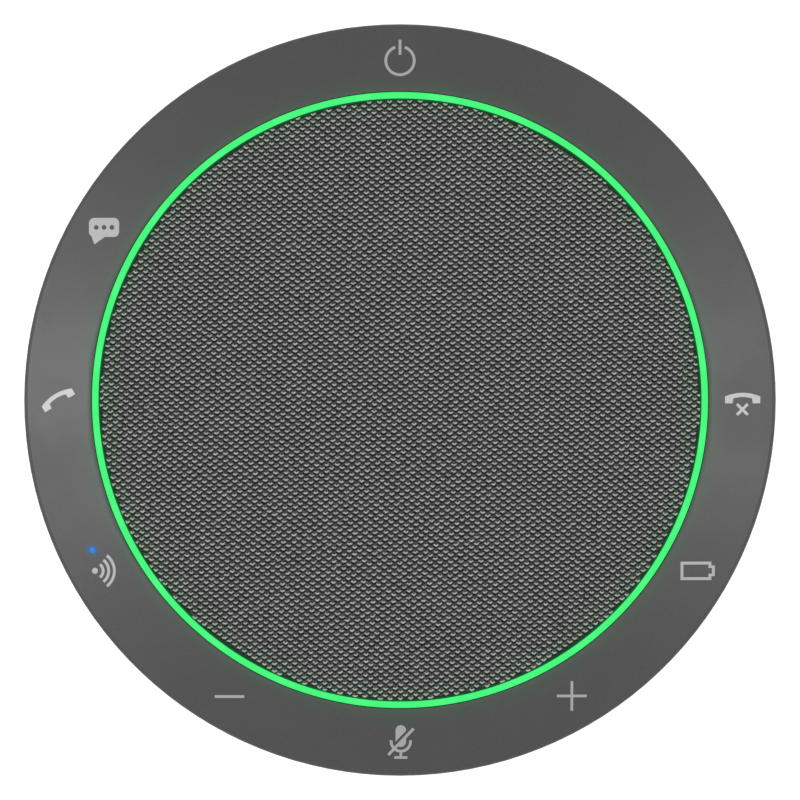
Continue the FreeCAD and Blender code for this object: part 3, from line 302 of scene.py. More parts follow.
def lit_acrylic():
    """Frosted acrylic, lit through its crown and masked below: even green, slightly whiter over each lamp."""
    ring = Finish("light_guide", 0.5, Specular_IOR_Level=0.2)
    x, y, z = ring.axes()
    turn = ring.math("MULTIPLY", ring.math("ARCTAN2", y, x), RING_LAMPS)
    hot = ring.span(ring.math("COSINE", ring.math("ADD", turn, math.pi)), 0.2, 1.0)
    cloud = ring.noise(400.0, 2.0)
    mixed = ring.math("MULTIPLY", ring.math("ADD", hot, cloud), 0.35)
    ring.colour(rgb(0.0, 0.03, 0.01))
    lit = ring.blend(mixed, LIT_GREEN, LIT_GREEN_HOT)
    crown = ring.span(z, RING_TOP - LIT_DEPTH, RING_TOP - LIT_DEPTH / 2)
    ring.feed(ring.shader.inputs["Emission Color"], ring.blend(crown, UNLIT_GREEN, lit))
    ring.shader.inputs["Emission Strength"].default_value = 1.0
    return ring.material


def lit_lens():
    """Small blue status light, brightest in the middle of its lens."""
    lens = Finish("lamp_blue", 0.35, Specular_IOR_Level=0.15)
    lens.colour(rgb(0.0, 0.02, 0.1))
    facing = lens.node("ShaderNodeLayerWeight")
    facing.inputs["Blend"].default_value = 0.4
    lens.feed(lens.shader.inputs["Emission Color"],
              lens.blend(facing.outputs["Facing"], rgb(0.0, 0.24, 1.0), rgb(0.0, 0.12, 0.6)))
    lens.shader.inputs["Emission Strength"].default_value = 1.0
    return lens.material


def yarn(name, dark, pale, gloss, glow_paint_share=0.5):
    """Polyester yarn: fine fibres along the thread, a tone that drifts from place to place, and painted glow:
    a share of the ring's green painted into its colour near the cloth's edge."""
    thread = Finish(name, 0.7, Specular_IOR_Level=gloss, Sheen_Weight=0.1, Sheen_Roughness=0.4)
    fibre = thread.noise(2600.0, 4.0, 0.7, thread.stretched(0.35, 1.0, 1.0))
    drift = thread.noise(90.0, 2.0)
    tone = thread.blend(thread.span(fibre, 0.25, 0.75), grey(dark), grey(pale))
    tone = thread.blend(thread.math("MULTIPLY", drift, 0.3), tone, grey(dark))
    # Painted glow: the ring's green painted into the yarn's colour, rising towards the cloth's edge.
    painted_glow = thread.span(thread.radius(), CLOTH_OUTER - CLOTH_PAINTED_GLOW_REACH, CLOTH_OUTER, 0.0, glow_paint_share)
    thread.colour(thread.blend(painted_glow, tone, grey((dark + pale) / 2, (0.75, 1.4, 0.75))))
    thread.bump(fibre, 0.03 * MM, 0.9)
    return thread.material


def soft_rubber():
    """Matt rubber with a fine pebble and a dusty bloom."""
    made = Finish("soft_rubber", 0.85, Sheen_Weight=0.2, Sheen_Roughness=0.6)
    pebble = made.noise(3000.0, 3.0, 0.6)
    dust = made.noise(120.0, 4.0, 0.65)
    made.colour(made.blend(made.span(dust, 0.45, 0.75, 0.0, 0.5), grey(0.022), grey(0.0484)))
    made.bump(pebble, 0.02 * MM, 0.7)
    return made.material


def foam():
    """Open-cell foam."""
    made = Finish("foam", 0.95)
    cells = made.node("ShaderNodeTexVoronoi")
    cells.inputs["Scale"].default_value = 2200.0
    made.feed(cells.inputs["Vector"], made.place)
    made.colour(made.blend(cells.outputs["Distance"], grey(0.03), grey(0.09)))
    made.bump(cells.outputs["Distance"], 0.1 * MM, 0.9)
    return made.material


def plated_metal(name, tone, roughness=0.32):
    """Plated steel: brushed streaks in its roughness and a faint mottle in its tone."""
    metal = Finish(name, roughness, 1.0)
    streak = metal.noise(900.0, 4.0, 0.6, metal.stretched(1.0, 9.0, 9.0))
    mottle = metal.noise(260.0, 3.0)
    metal.colour(metal.blend(mottle, tone, tuple(0.8 * part for part in tone[:3]) + (1.0,)))
    metal.rough(metal.span(streak, 0.3, 0.7, roughness - 0.08, roughness + 0.12))
    metal.bump(streak, 0.004 * MM, 0.5)
    return metal.material


def painted(name, level, roughness=0.4):
    """Powder coat with a faint orange peel."""
    made = Finish(name, roughness)
    peel = made.noise(1500.0, 2.0)
    made.colour(made.blend(peel, grey(level * 0.85), grey(level * 1.15)))
    made.bump(peel, 0.006 * MM, 0.5)
    return made.material


GLASS_TURNS = 9000.0  # radians of weave in a metre
CONE_RIB_PITCH = 1.1 * MM
COIL_WIRE = 0.22 * MM


def solder_mask():
    """Green board: glass weave under a glossy mask, with copper runs just showing."""
    board = Finish("circuit_board", 0.32, Coat_Weight=0.3)
    x, y, _ = board.axes()
    warp = board.math("SINE", board.math("MULTIPLY", x, GLASS_TURNS))
    weft = board.math("SINE", board.math("MULTIPLY", y, GLASS_TURNS))
    weave = board.math("MULTIPLY", warp, weft)
    cells = board.node("ShaderNodeTexVoronoi", feature="DISTANCE_TO_EDGE")
    cells.inputs["Scale"].default_value = 420.0
    board.feed(cells.inputs["Vector"], board.place)
    runs = board.span(cells.outputs["Distance"], 0.05, 0.09, 1.0, 0.0)
    base = board.blend(board.span(weave, -1.0, 1.0), rgb(0.006, 0.05, 0.02), rgb(0.008, 0.065, 0.026))
    board.colour(board.blend(runs, base, rgb(0.02, 0.14, 0.05)))
    board.bump(runs, 0.03 * MM, 0.6)
    return board.material


def speckled(name, low, high, roughness=0.55, scale=1800.0, depth=0.01):
    """A plain moulded or pressed surface with a fine speckle between two colours."""
    made = Finish(name, roughness)
    speck = made.noise(scale, 3.0, 0.6)
    made.colour(made.blend(speck, low, high))
    made.bump(speck, depth * MM, 0.6)
    return made.material


def paper_cone():
    """Pressed paper pulp with fine circular ribs."""
    cone = Finish("cone_paper", 0.8)
    pulp = cone.noise(1400.0, 5.0, 0.7)
    rings = cone.math("SINE", cone.math("MULTIPLY", cone.radius(), 2 * math.pi / CONE_RIB_PITCH))
    cone.colour(cone.blend(pulp, grey(0.018), grey(0.045)))
    cone.bump(cone.math("ADD", pulp, cone.math("MULTIPLY", rings, 0.3)), 0.05 * MM, 0.7)
    return cone.material


def wound_copper():
    """Enamelled wire wound turn beside turn."""
    coil = Finish("coil_copper", 0.3, 1.0)
    _, _, z = coil.axes()
    turns = coil.math("SINE", coil.math("MULTIPLY", z, 2 * math.pi / COIL_WIRE))
    coil.colour(coil.blend(coil.span(turns, -1.0, 1.0), rgb(0.25, 0.07, 0.02), rgb(0.75, 0.33, 0.14)))
    coil.bump(turns, 0.05 * MM, 0.8)
    return coil.material


TONGUE_HALF_WIDTH = 3.38 * MM
TONGUE_HALF_SHEET = 0.42 * MM
CONTACT_PITCH = 0.5 * MM
CONTACT_HALF_SHARE = 0.26
CONTACT_SETBACK = 1.1 * MM
PITCHES_TO_SIDE = 20


def usb_port_metal():
    """Nickel shell; the tongue inside is black resin with gold contacts on both faces."""
    port = Finish("socket_steel", 0.3)
    low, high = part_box("usb_socket")
    middle = (low[2] + high[2]) / 2
    x, y, z = port.axes()
    tongue_x = port.math("LESS_THAN", port.math("ABSOLUTE", x), TONGUE_HALF_WIDTH)
    level = port.math("SUBTRACT", z, middle)
    tongue_z = port.math("LESS_THAN", port.math("ABSOLUTE", level), TONGUE_HALF_SHEET)
    tongue = port.math("MULTIPLY", tongue_x, tongue_z)
    pitches = port.math("ADD", port.math("DIVIDE", x, CONTACT_PITCH), PITCHES_TO_SIDE + 0.5)
    place = port.math("SUBTRACT", port.math("FRACT", pitches), 0.5)
    strip = port.math("LESS_THAN", port.math("ABSOLUTE", place), CONTACT_HALF_SHARE)
    ahead = port.math("LESS_THAN", y, high[1] - CONTACT_SETBACK)
    gold = port.math("MULTIPLY", port.math("MULTIPLY", strip, ahead), tongue)
    scuff = port.noise(1600.0, 4.0, 0.6)
    shell = port.blend(scuff, rgb(0.55, 0.54, 0.52), rgb(0.68, 0.67, 0.65))
    port.colour(port.blend(gold, port.blend(tongue, shell, grey(0.02)), rgb(0.9, 0.6, 0.2)))
    metal = port.math("MAXIMUM", port.math("SUBTRACT", 1.0, tongue), gold)
    port.feed(port.shader.inputs["Metallic"], metal)
    port.rough(port.span(scuff, 0.3, 0.7, 0.24, 0.4))
    port.bump(scuff, 0.004 * MM, 0.5)
    return port.material


FINISHES = {
    "rim_film": soft_touch_film(),
    "casing_plastic": moulded_plastic("casing_plastic", 0.052),
    "key_plastic": moulded_plastic("key_plastic", 0.07),
    "light_guide": lit_acrylic(),
    "grille_plate": painted("grille_plate", 0.02, 0.5),
    "speaker_cloth": yarn("speaker_cloth", 0.014, 0.024, 0.1),
    "soft_rubber": soft_rubber(),
    "foam": foam(),
    "screw_steel": plated_metal("screw_steel", grey(0.55)),
    "switch_can": plated_metal("switch_can", grey(0.7), 0.25),
    "switch_stem": speckled("switch_stem", grey(0.02), grey(0.03), 0.45),
    "circuit_board": solder_mask(),
    "lamp_green": speckled("lamp_green", rgb(0.75, 0.8, 0.6), rgb(0.9, 0.92, 0.8), 0.2),
    "lamp_blue": lit_lens(),
    "microphone_can": plated_metal("microphone_can", rgb(0.85, 0.6, 0.25), 0.25),
    "shield_steel": plated_metal("shield_steel", grey(0.65), 0.3),
    "chip_resin": speckled("chip_resin", grey(0.012), grey(0.03), 0.6),
    "socket_resin": speckled("socket_resin", rgb(0.6, 0.57, 0.47), rgb(0.7, 0.67, 0.57), 0.5),
    "basket_steel": painted("basket_steel", 0.025),
    "motor_steel": plated_metal("motor_steel", rgb(0.6, 0.62, 0.6)),
    "ferrite": speckled("ferrite", grey(0.02), grey(0.05), 0.65, 900.0, 0.03),
    "coil_copper": wound_copper(),
    "cone_paper": paper_cone(),
    "spider_cloth": yarn("spider_cloth", 0.18, 0.3, 0.4),
    "box_plastic": moulded_plastic("box_plastic", 0.03),
    "socket_steel": usb_port_metal(),
    "flex_film": speckled("flex_film", rgb(0.3, 0.12, 0.01), rgb(0.38, 0.17, 0.02), 0.3, 500.0, 0.004),
    "pack_foil": plated_metal("pack_foil", grey(0.6), 0.35),
    "lead_jacket": speckled("lead_jacket", rgb(0.25, 0.006, 0.006), rgb(0.32, 0.01, 0.01), 0.45),
}
INK = printed_ink()
PALE_YARN = yarn("pale_yarn", 0.262, 0.53, 0.35, glow_paint_share=0.18)
DARK_YARN = yarn("dark_yarn", 0.034, 0.104, 0.2)


def dress_frame():
    """Gives every CAD node the procedural material of its slot."""
    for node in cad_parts.values():
        for holder in node.material_slots:
            holder.material = FINISHES[holder.material.name.split(".")[0]]


# ---------------------------------------------------------------------------------------------------------
# Mesh helpers
# ---------------------------------------------------------------------------------------------------------

def add_piece(name, points, faces, material, body=None, smooth=True):
    mesh = bpy.data.meshes.new(name)
    mesh.from_pydata(points, [], faces)
    mesh.validate()
    mesh.polygons.foreach_set("use_smooth", [smooth] * len(mesh.polygons))
    mesh.materials.append(material)
    piece = bpy.data.objects.new(name, mesh)
    bpy.context.scene.collection.objects.link(piece)
    if body:
        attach(piece, body)
    return piece


class Skin:
    """Points and faces of a mesh that is put together from grids, with shared edges merged."""

    def __init__(self):
        self.points = []
        self.faces = []
        self.seen = {}

    def point(self, place):
        key = tuple(round(part * 1e7) for part in place)
        if key not in self.seen:
            self.seen[key] = len(self.points)
            self.points.append(tuple(place))
        return self.seen[key]

    def grid(self, rows, flip=False):
        """Quads between rows of points."""
        table = [[self.point(place) for place in row] for row in rows]
        for low, high in zip(table, table[1:]):
            for i in range(len(low) - 1):
                face = [low[i], low[i + 1], high[i + 1], high[i]]
                face = [f for n, f in enumerate(face) if f != face[n - 1]]
                if len(face) > 2:
                    self.faces.append(face[::-1] if flip else face)


def between(first, second, share):
    return tuple(a + (b - a) * share for a, b in zip(first, second))


def on_film(x, y, lift=0.0):
    return (x, y, film_height(x, y) + lift)


def at_angle(radius, angle, height=0.0):
    return (radius * math.cos(angle), radius * math.sin(angle), height)


# ---------------------------------------------------------------------------------------------------------
# Rim film: one fixed skin, and a patch over each key whose middle moves with it
# ---------------------------------------------------------------------------------------------------------

FILM_OVERHANG = 0.12 * MM
FILM_ROUND = 0.08 * MM
PATCH_FLEX = 1.2 * MM
PATCH_NEAR = FILM_INNER + 0.75 * MM
PATCH_FAR = FILM_OUTER - 0.60 * MM
PATCH_HALF = KEY_HALF + 0.42 * MM
FILM_LIP = FILM_INNER - FILM_OVERHANG
FLAT_INNER = FILM_LIP + FILM_ROUND
FLAT_OUTER = FILM_OUTER - FILM_ROUND
SECTORS = 12
SECTOR = math.pi / SECTORS
ACROSS_STEPS = 32
ALONG_STEPS = 14
FLANK_STEPS = 12
FLEX_STEPS = 6
LIP_STEPS = 5


def patch_point(angle, out, side):
    """A point on the film in a key's own directions: out from the disc's axis, and sideways."""
    x = out * math.cos(angle) - side * math.sin(angle)
    y = out * math.sin(angle) + side * math.cos(angle)
    return on_film(x, y)


def patch_corners(inset):
    near, far, half = PATCH_NEAR + inset, PATCH_FAR - inset, PATCH_HALF - inset
    return [(near, -half), (far, -half), (far, half), (near, half)]


def sector_row(out, edge_radius, ring_radius=None):
    """One line of points across a whole sector, as (out, side) pairs. It is straight over the patch and
    bends to a circle of edge_radius at the sector's ends; with ring_radius it is that circle all along."""
    middle = []
    for j in range(ACROSS_STEPS + 1):
        side = PATCH_HALF * (2 * j / ACROSS_STEPS - 1)
        turn = math.atan2(side, out)
        middle.append((ring_radius or math.hypot(out, side), turn))
    reach, corner = middle[-1][1], middle[-1][0]
    flank = []
    for j in range(1, FLANK_STEPS + 1):
        share = j / FLANK_STEPS
        flank.append((corner + (edge_radius - corner) * share, reach + (SECTOR - reach) * share))
    line = [(radius, -turn) for radius, turn in reversed(flank)] + middle + flank
    return [at_angle(radius, turn)[:2] for radius, turn in line]


def sector_rows():
    rows = [sector_row(PATCH_NEAR, FLAT_INNER, FLAT_INNER)]
    for i in range(ALONG_STEPS + 1):
        edge = FLAT_INNER + (FLAT_OUTER - FLAT_INNER) * (i + 1) / (ALONG_STEPS + 2)
        rows.append(sector_row(PATCH_NEAR + (PATCH_FAR - PATCH_NEAR) * i / ALONG_STEPS, edge))
    rows.append(sector_row(PATCH_FAR, FLAT_OUTER, FLAT_OUTER))
    return rows


def film_lip(skin, angle, row, edge):
    """Rounds one edge of the film over and takes it down to the plate."""
    flat = math.hypot(*row[0])
    top = film_height(flat, 0.0)
    outward = 1 if edge > flat else -1
    levels = []
    for i in range(LIP_STEPS + 1):
        bend = math.pi / 2 * i / LIP_STEPS
        levels.append((flat + outward * FILM_ROUND * math.sin(bend), top - FILM_ROUND * (1 - math.cos(bend))))
    levels.append((edge, top - FILM_SHEET))
    rows = []
    for radius, height in levels:
        places = [patch_point(angle, out * radius / flat, side * radius / flat) for out, side in row]
        rows.append([(x, y, height) for x, y, _ in places])
    skin.grid(rows, flip=outward > 0)


def fixed_film():
    """The part of the film that stays put: sectors in a ring, with a hole for each key's patch."""
    skin = Skin()
    keyed = set(KEY_STEPS.values())
    places = sector_rows()
    for step in range(SECTORS):
        angle = step * 2 * SECTOR
        rows = [[patch_point(angle, *place) for place in row] for row in places]
        skin.grid([row[:FLANK_STEPS + 1] for row in rows], flip=True)
        skin.grid([row[-FLANK_STEPS - 1:] for row in rows], flip=True)
        middle = [row[FLANK_STEPS:-FLANK_STEPS] for row in rows]
        for part in ([middle[:2], middle[-2:]] if step in keyed else [middle]):
            skin.grid(part, flip=True)
        film_lip(skin, angle, places[0], FILM_LIP)
        film_lip(skin, angle, places[-1], FILM_OUTER)
    piece = add_piece("rim_film", skin.points, skin.faces, FINISHES["rim_film"], HOUSING)
    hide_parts("control_overlay")


def key_film(name, angle):
    """The film over one key: a middle that goes down with it and four strips around it."""
    body = f"button_{name}"
    middle = patch_corners(PATCH_FLEX)
    edge = patch_corners(0.0)
    rows = []
    for i in range(ALONG_STEPS + 1):
        low = between(middle[0], middle[1], i / ALONG_STEPS)
        high = between(middle[3], middle[2], i / ALONG_STEPS)
        places = [between(low, high, j / ACROSS_STEPS) for j in range(ACROSS_STEPS + 1)]
        rows.append([patch_point(angle, *place) for place in places])
    skin = Skin()
    skin.grid(rows, flip=True)
    add_piece(f"film_{name}", skin.points, skin.faces, FINISHES["rim_film"], body)
    for side, label in enumerate(("right", "outer", "left", "inner")):
        following = (side + 1) % 4
        steps = ALONG_STEPS if side % 2 == 0 else ACROSS_STEPS
        rows = []
        for layer in range(FLEX_STEPS + 1):
            start = between(edge[side], middle[side], layer / FLEX_STEPS)
            end = between(edge[following], middle[following], layer / FLEX_STEPS)
            rows.append([patch_point(angle, *between(start, end, i / steps)) for i in range(steps + 1)])
        skin = Skin()
        skin.grid(rows)
        strip = add_piece(f"film_{name}_{label}", skin.points, skin.faces, FINISHES["rim_film"])
        outside = between(edge[side], edge[following], 0.5)
        inside = between(middle[side], middle[following], 0.5)
        start, end = (Vector(patch_point(angle, *place)[:2]).to_3d() for place in (outside, inside))
        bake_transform(strip)


# ---------------------------------------------------------------------------------------------------------
# Legends: areas of ink in millimetres about each legend's own centre, x to the right and y to the back. An
# area is a closed outline, followed by the outlines of its holes.
# ---------------------------------------------------------------------------------------------------------

STROKE = 0.45


def arc(middle, radius, first, last, steps=None):
    """Points along an arc, in degrees."""
    steps = steps or max(6, round(abs(last - first) / 8))
    turns = [math.radians(first + (last - first) * i / steps) for i in range(steps + 1)]
    return [(middle[0] + radius * math.cos(t), middle[1] + radius * math.sin(t)) for t in turns]


def bow(middle, radius, first, last):
    """A loop round a bent stroke."""
    half = STROKE / 2
    return arc(middle, radius + half, first, last) + arc(middle, radius - half, last, first)


def bar(start, end, width=STROKE):
    """A loop round a straight stroke."""
    along = Vector(end) - Vector(start)
    half = Vector((-along.y, along.x)).normalized() * width / 2
    return [tuple(Vector(p) + half * s) for p, s in ((start, -1), (end, -1), (end, 1), (start, 1))]


def dot(middle, radius):
    return arc(middle, radius, 0, 345, 23)


def cross(middle, reach, turn=0.0, width=STROKE):
    """A plus sign as one loop; turned by 45 degrees it is a cross."""
    half = width / 2
    arm = [(half, half), (reach, half), (reach, -half)]
    loop = []
    for quarter in range(4):
        spin = Matrix.Rotation(math.radians(turn - 90 * quarter), 2)
        loop += [tuple(Vector(middle) + spin @ Vector(p)) for p in arm]
    return loop


def cut_off(loop, place, normal):
    """The part of a convex loop on the normal's side of a line."""
    side = [(Vector(p) - Vector(place)).dot(Vector(normal)) for p in loop]
    kept = []
    for i, here in enumerate(loop):
        before = loop[i - 1]
        if side[i] * side[i - 1] < 0:
            kept.append(between(before, here, side[i - 1] / (side[i - 1] - side[i])))
        if side[i] >= 0:
            kept.append(here)
    return kept


def handset(scale, turn, shift):
    """A telephone handset lying like an arch: two square ends under a bowed grip."""
    half, foot, drop = 2.95, 1.38, 0.80
    crown, rise = 0.95, 0.62
    outer_radius = (half ** 2 + rise ** 2) / (2 * rise)
    inner_half = half - foot
    inner_rise = 0.25
    inner_radius = (inner_half ** 2 + inner_rise ** 2) / (2 * inner_rise)
    swing = math.degrees(math.asin(half / outer_radius))
    inner_swing = math.degrees(math.asin(inner_half / inner_radius))
    top = arc((0, crown - outer_radius), outer_radius, 90 - swing, 90 + swing, 14)
    under = arc((0, 0.25 - inner_radius), inner_radius, 90 + inner_swing, 90 - inner_swing, 10)
    loop = [(half, -drop)] + top + [(-half, -drop), (-half + foot - 0.12, -drop)]
    loop += under + [(half - foot + 0.12, -drop)]
    spin = Matrix.Rotation(math.radians(turn), 2)
    return [tuple(Vector(shift) + spin @ (Vector(p) * scale)) for p in loop]


def power_legend():
    return [[bow((0, -0.37), 2.27, 109, 431)], [bar((0, 0.57), (0, 2.99))]]


def meeting_legend():
    """A speech bubble with three dots."""
    corner = 0.85
    width, height, low = 2.42, 1.80, -1.25
    bubble = (arc((width - corner, low + corner), corner, -90, 0) + arc((width - corner, height - corner),
              corner, 0, 90) + arc((-width + corner, height - corner), corner, 90, 180)
              + arc((-width + corner, low + corner), corner, 180, 240))
    bubble += [(-1.55, -2.45), (0.1, low)]
    middle = (height + low) / 2
    return [[bubble] + [dot((x, middle), 0.38) for x in (-1.25, 0.0, 1.25)]]


def answer_legend():
    return [[handset(0.95, 31, (-0.1, 0.14))]]


def pairing_legend():
    """A dot with three bows spreading from it."""
    source = (-1.45, 0.0)
    return [[dot(source, 0.48)]] + [[bow(source, radius, -52, 52)] for radius in (1.3, 2.2, 3.1)]


def volume_down_legend():
    return [[bar((-2.30, -0.1), (2.42, -0.1))]]


def volume_up_legend():
    return [[cross((0.16, 0.0), 2.38, width=0.425)]]


def mute_legend():
    """A microphone on its stand, struck through, with a clear line along the stroke's upper side."""
    low, high = Vector((-1.88, -2.13)), Vector((2.17, 2.10))
    slope = (high - low).normalized()
    above = Vector((-slope.y, slope.x))
    clear = low + above * STROKE * 1.4
    middle, radius = 0.13, 0.84
    capsule = arc((middle, 1.82), radius, 0, 180) + arc((middle, 0.0), radius, 180, 360)
    return [
        [cut_off(capsule, clear, above)],
        [cut_off(capsule, low, -above)],
        [bar(low, high)],
        [bow((middle, 0.02), 1.54, 172, 368)],
        [bar((middle, -1.7), (middle, -2.5), 0.42)],
        [bar((middle - 1.04, -2.53), (middle + 1.04, -2.53), 0.42)],
    ]


def battery_legend():
    """A battery outline with its pole to the right."""
    wide, tall, pole_out, pole_half, wall = 2.47, 1.47, 3.02, 0.85, 0.46

    def outline(inset):
        side, top = wide - inset, tall - inset
        out, half = pole_out - inset, pole_half - inset * 0.85
        return [(-wide + inset, -top), (side, -top), (side, -half), (out, -half),
                (out, half), (side, half), (side, top), (-wide + inset, top)]

    return [[outline(0.0), outline(wall)]]


def hang_up_legend():
    return [[handset(0.96, 0, (0.15, 0.24))], [cross((0.10, -1.50), 1.22, 45)]]


LEGENDS = {
    "hang_up": hang_up_legend,
    "power": power_legend,
    "meeting": meeting_legend,
    "answer": answer_legend,
    "pairing": pairing_legend,
    "volume_down": volume_down_legend,
    "mute": mute_legend,
    "volume_up": volume_up_legend,
    "battery": battery_legend,
}
INK_SHEET = 0.02 * MM
INK_WELD = 1e-4


def filled(area):
    """A closed, two-sided mesh of one area of ink, half a millimetre either side of z = 0."""
    drawing = bpy.data.curves.new("ink_outline", "CURVE")
    drawing.dimensions = "2D"
    drawing.fill_mode = "BOTH"
    drawing.extrude = 0.5
    for loop in area:
        line = drawing.splines.new("POLY")
        line.points.add(len(loop) - 1)
        for point, place in zip(line.points, loop):
            point.co = (*place, 0.0, 1.0)
        line.use_cyclic_u = True
    sketch = bpy.data.objects.new("ink_outline", drawing)
    bpy.context.scene.collection.objects.link(sketch)
    mesh = bpy.data.meshes.new_from_object(sketch.evaluated_get(bpy.context.evaluated_depsgraph_get()))
    bpy.data.objects.remove(sketch)
    bpy.data.curves.remove(drawing)
    return mesh


def legend(name, angle):
    """Prints one legend on the film: filled outlines, laid on the slope as a thin sheet of ink."""
    work = bmesh.new()
    for area in LEGENDS[name]():
        mesh = filled(area)
        work.from_mesh(mesh)
        bpy.data.meshes.remove(mesh)
    bmesh.ops.remove_doubles(work, verts=work.verts, dist=INK_WELD)
    middle = at_angle(LEGEND_RADIUS, angle)
    for vertex in work.verts:
        x, y = middle[0] + vertex.co.x * MM, middle[1] + vertex.co.y * MM
        vertex.co = on_film(x, y, math.copysign(INK_SHEET, vertex.co.z))
    bmesh.ops.recalc_face_normals(work, faces=work.faces)
    mesh = bpy.data.meshes.new(f"legend_{name}")
    work.to_mesh(mesh)
    work.free()
    mesh.materials.append(INK)
    piece = bpy.data.objects.new(f"legend_{name}", mesh)
    bpy.context.scene.collection.objects.link(piece)
    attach(piece, f"button_{name}")


# ---------------------------------------------------------------------------------------------------------
# Lights on the object
# ---------------------------------------------------------------------------------------------------------

RING_GAP = 0.04 * MM
RING_SOFT = 0.16 * MM
RING_STEPS = 240
PIN_RADIUS = 0.5 * MM
PIN_PROUD = 0.04 * MM
PIN_DOME = 0.14 * MM
CUP_RADIUS = 1.4 * MM
CUP_HEIGHT = 1.5 * MM
CUP_STEPS = 32


def circle(radius, height, steps, middle=(0.0, 0.0)):
    """Points once round an upright line, the first one repeated at the end."""
    places = [at_angle(radius, 2 * math.pi * i / steps, height) for i in range(steps + 1)]
    return [(x + middle[0], y + middle[1], z) for x, y, z in places]


def light_ring():
    """The lit band, with a softly rounded crown between the cloth and the film."""
    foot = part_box("light_ring")[0][2]
    flange_inner = radius_range("light_ring")[0]
    flange_top = max(p.z for p in node_points("light_ring") if p.xy.length < flange_inner + 0.05 * MM)
    inner, outer = RING_INNER + RING_GAP, RING_OUTER - RING_GAP
    shoulder = RING_TOP - RING_SOFT
    outline = [(flange_inner, foot), (outer, foot)]
    outline += arc((outer - RING_SOFT, shoulder), RING_SOFT, 0, 90, 3)
    outline += arc((inner + RING_SOFT, shoulder), RING_SOFT, 90, 180, 3)
    outline += [(inner, flange_top), (flange_inner, flange_top), (flange_inner, foot)]
    skin = Skin()
    skin.grid([circle(radius, height, RING_STEPS) for radius, height in outline], flip=True)
    ring = add_piece("lit_ring", skin.points, skin.faces, FINISHES["light_guide"], HOUSING)
    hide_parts("light_ring")


def status_light():
    """The light pipe, with a low lens where it comes through the film."""
    points = node_points("status_light_pipe")
    crown = max(p.z for p in points)
    low = min(p.z for p in points)
    cup_top, pin_top = low + CUP_HEIGHT, crown + PIN_PROUD
    outline = [(0.0, low), (CUP_RADIUS, low), (CUP_RADIUS, cup_top), (PIN_RADIUS, cup_top)]
    for turn in (0, 30, 60, 90):
        bend = math.radians(turn)
        outline.append((PIN_RADIUS * math.cos(bend), pin_top + PIN_DOME * math.sin(bend)))
    skin = Skin()
    skin.grid([circle(radius, height, CUP_STEPS, status_place()) for radius, height in outline])
    piece = add_piece("status_lens", skin.points, skin.faces, FINISHES["lamp_blue"], HOUSING)
    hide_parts("status_light_pipe")


# ---------------------------------------------------------------------------------------------------------
# Speaker: the roll and the spider, rebuilt in wedges between the cone and the basket
# ---------------------------------------------------------------------------------------------------------

WEDGES = 12
WEDGE_STEPS = 12
# How close to the seam at +X, in radians, a point must lie to count in a ring's profile.
ON_SEAM = 1e-4


def ring_profile(name):
    """Radius, lower height and upper height along one thin turned node, from its axis outwards."""
    heights = {}
    for p in node_points(name):
        if abs(math.atan2(p.y, p.x)) < ON_SEAM:
            heights.setdefault(round(p.xy.length, 6), []).append(p.z)
    return [(radius, min(found), max(found)) for radius, found in sorted(heights.items())]


def flexing_ring(name, node, slot):
    """Rebuilds a thin ring as wedges."""
    profile = ring_profile(node)
    around = [(radius, high) for radius, _, high in profile]
    around += [(radius, low) for radius, low, _ in reversed(profile)]
    around.append(around[0])
    half = math.pi / WEDGES
    for wedge in range(WEDGES):
        middle = 2 * half * wedge
        turns = [middle - half + 2 * half * i / WEDGE_STEPS for i in range(WEDGE_STEPS + 1)]
        skin = Skin()
        rows = [[at_angle(radius, turn, height) for turn in turns] for radius, height in around]
        skin.grid(rows, flip=True)
        piece = add_piece(f"{name}_{wedge + 1}", skin.points, skin.faces, FINISHES[slot])
        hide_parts(node)
        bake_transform(piece)


def speaker_suspension():
    flexing_ring("speaker_roll", "surround", "soft_rubber")
    flexing_ring("speaker_spider", "spider", "spider_cloth")


# ---------------------------------------------------------------------------------------------------------
# Grille cloth: a dark ground sheet, two layers of dark threads crossing, and pale loops standing on them
# ---------------------------------------------------------------------------------------------------------

LOOP_PITCH = 1.62 * MM
ROW_PITCH = 1.108 * MM
ROW_LEAN = math.radians(1.6)
COLUMN_LEAN = math.radians(1.9)
ALONG_ROW = Vector((math.cos(ROW_LEAN), math.sin(ROW_LEAN))) * LOOP_PITCH
UP_COLUMN = Vector((math.sin(COLUMN_LEAN), math.cos(COLUMN_LEAN))) * ROW_PITCH
GROUND_DROP = 0.30 * MM
GROUND_GAP = 0.02 * MM
GROUND_RINGS = 40
GROUND_STEPS = 192
YARN_FLATNESS = 0.8
YARN_TIP = 0.62
THREAD_RADIUS = 0.19 * MM
CROSSING_LIFT = 0.27
THREAD_DROP = 0.26 * MM
THREAD_WAVE = 0.07 * MM
THREAD_MARGIN = 0.25 * MM
THREAD_SIDES = 4
THREAD_SHIFT = 0.02
LOOP_RADIUS = 0.162 * MM
LOOP_SIDES = 5
LOOP_HALF = 0.43
LOOP_RISE = 0.15
LOOP_SAG = 0.13
LOOP_DROP = 0.12
LOOP_MARGIN = 0.12 * MM
LOOP_BANDS = 3
LOOP_SEED = 41
THREAD_SEED = 7
# Across and up as shares of LOOP_HALF and of LOOP_RISE or LOOP_SAG, and the height in millimetres.
LOOP_SHAPE = [
    (-0.92, 0.85, -0.14),
    (-0.5, 0.15, 0.0),
    (0.06, -1.0, 0.05),
    (0.55, 0.1, 0.0),
    (1.08, 1.1, -0.18),
]
# How much one loop differs from the next: radians, shares of its size, and millimetres.
LOOP_TURNS_BY = 0.07
LOOP_WIDENS_BY = 0.06
LOOP_DEEPENS_BY = 0.15
LOOP_SHIFTS_BY = (0.02, 0.015)
LOOP_TILTS_BY = 0.03


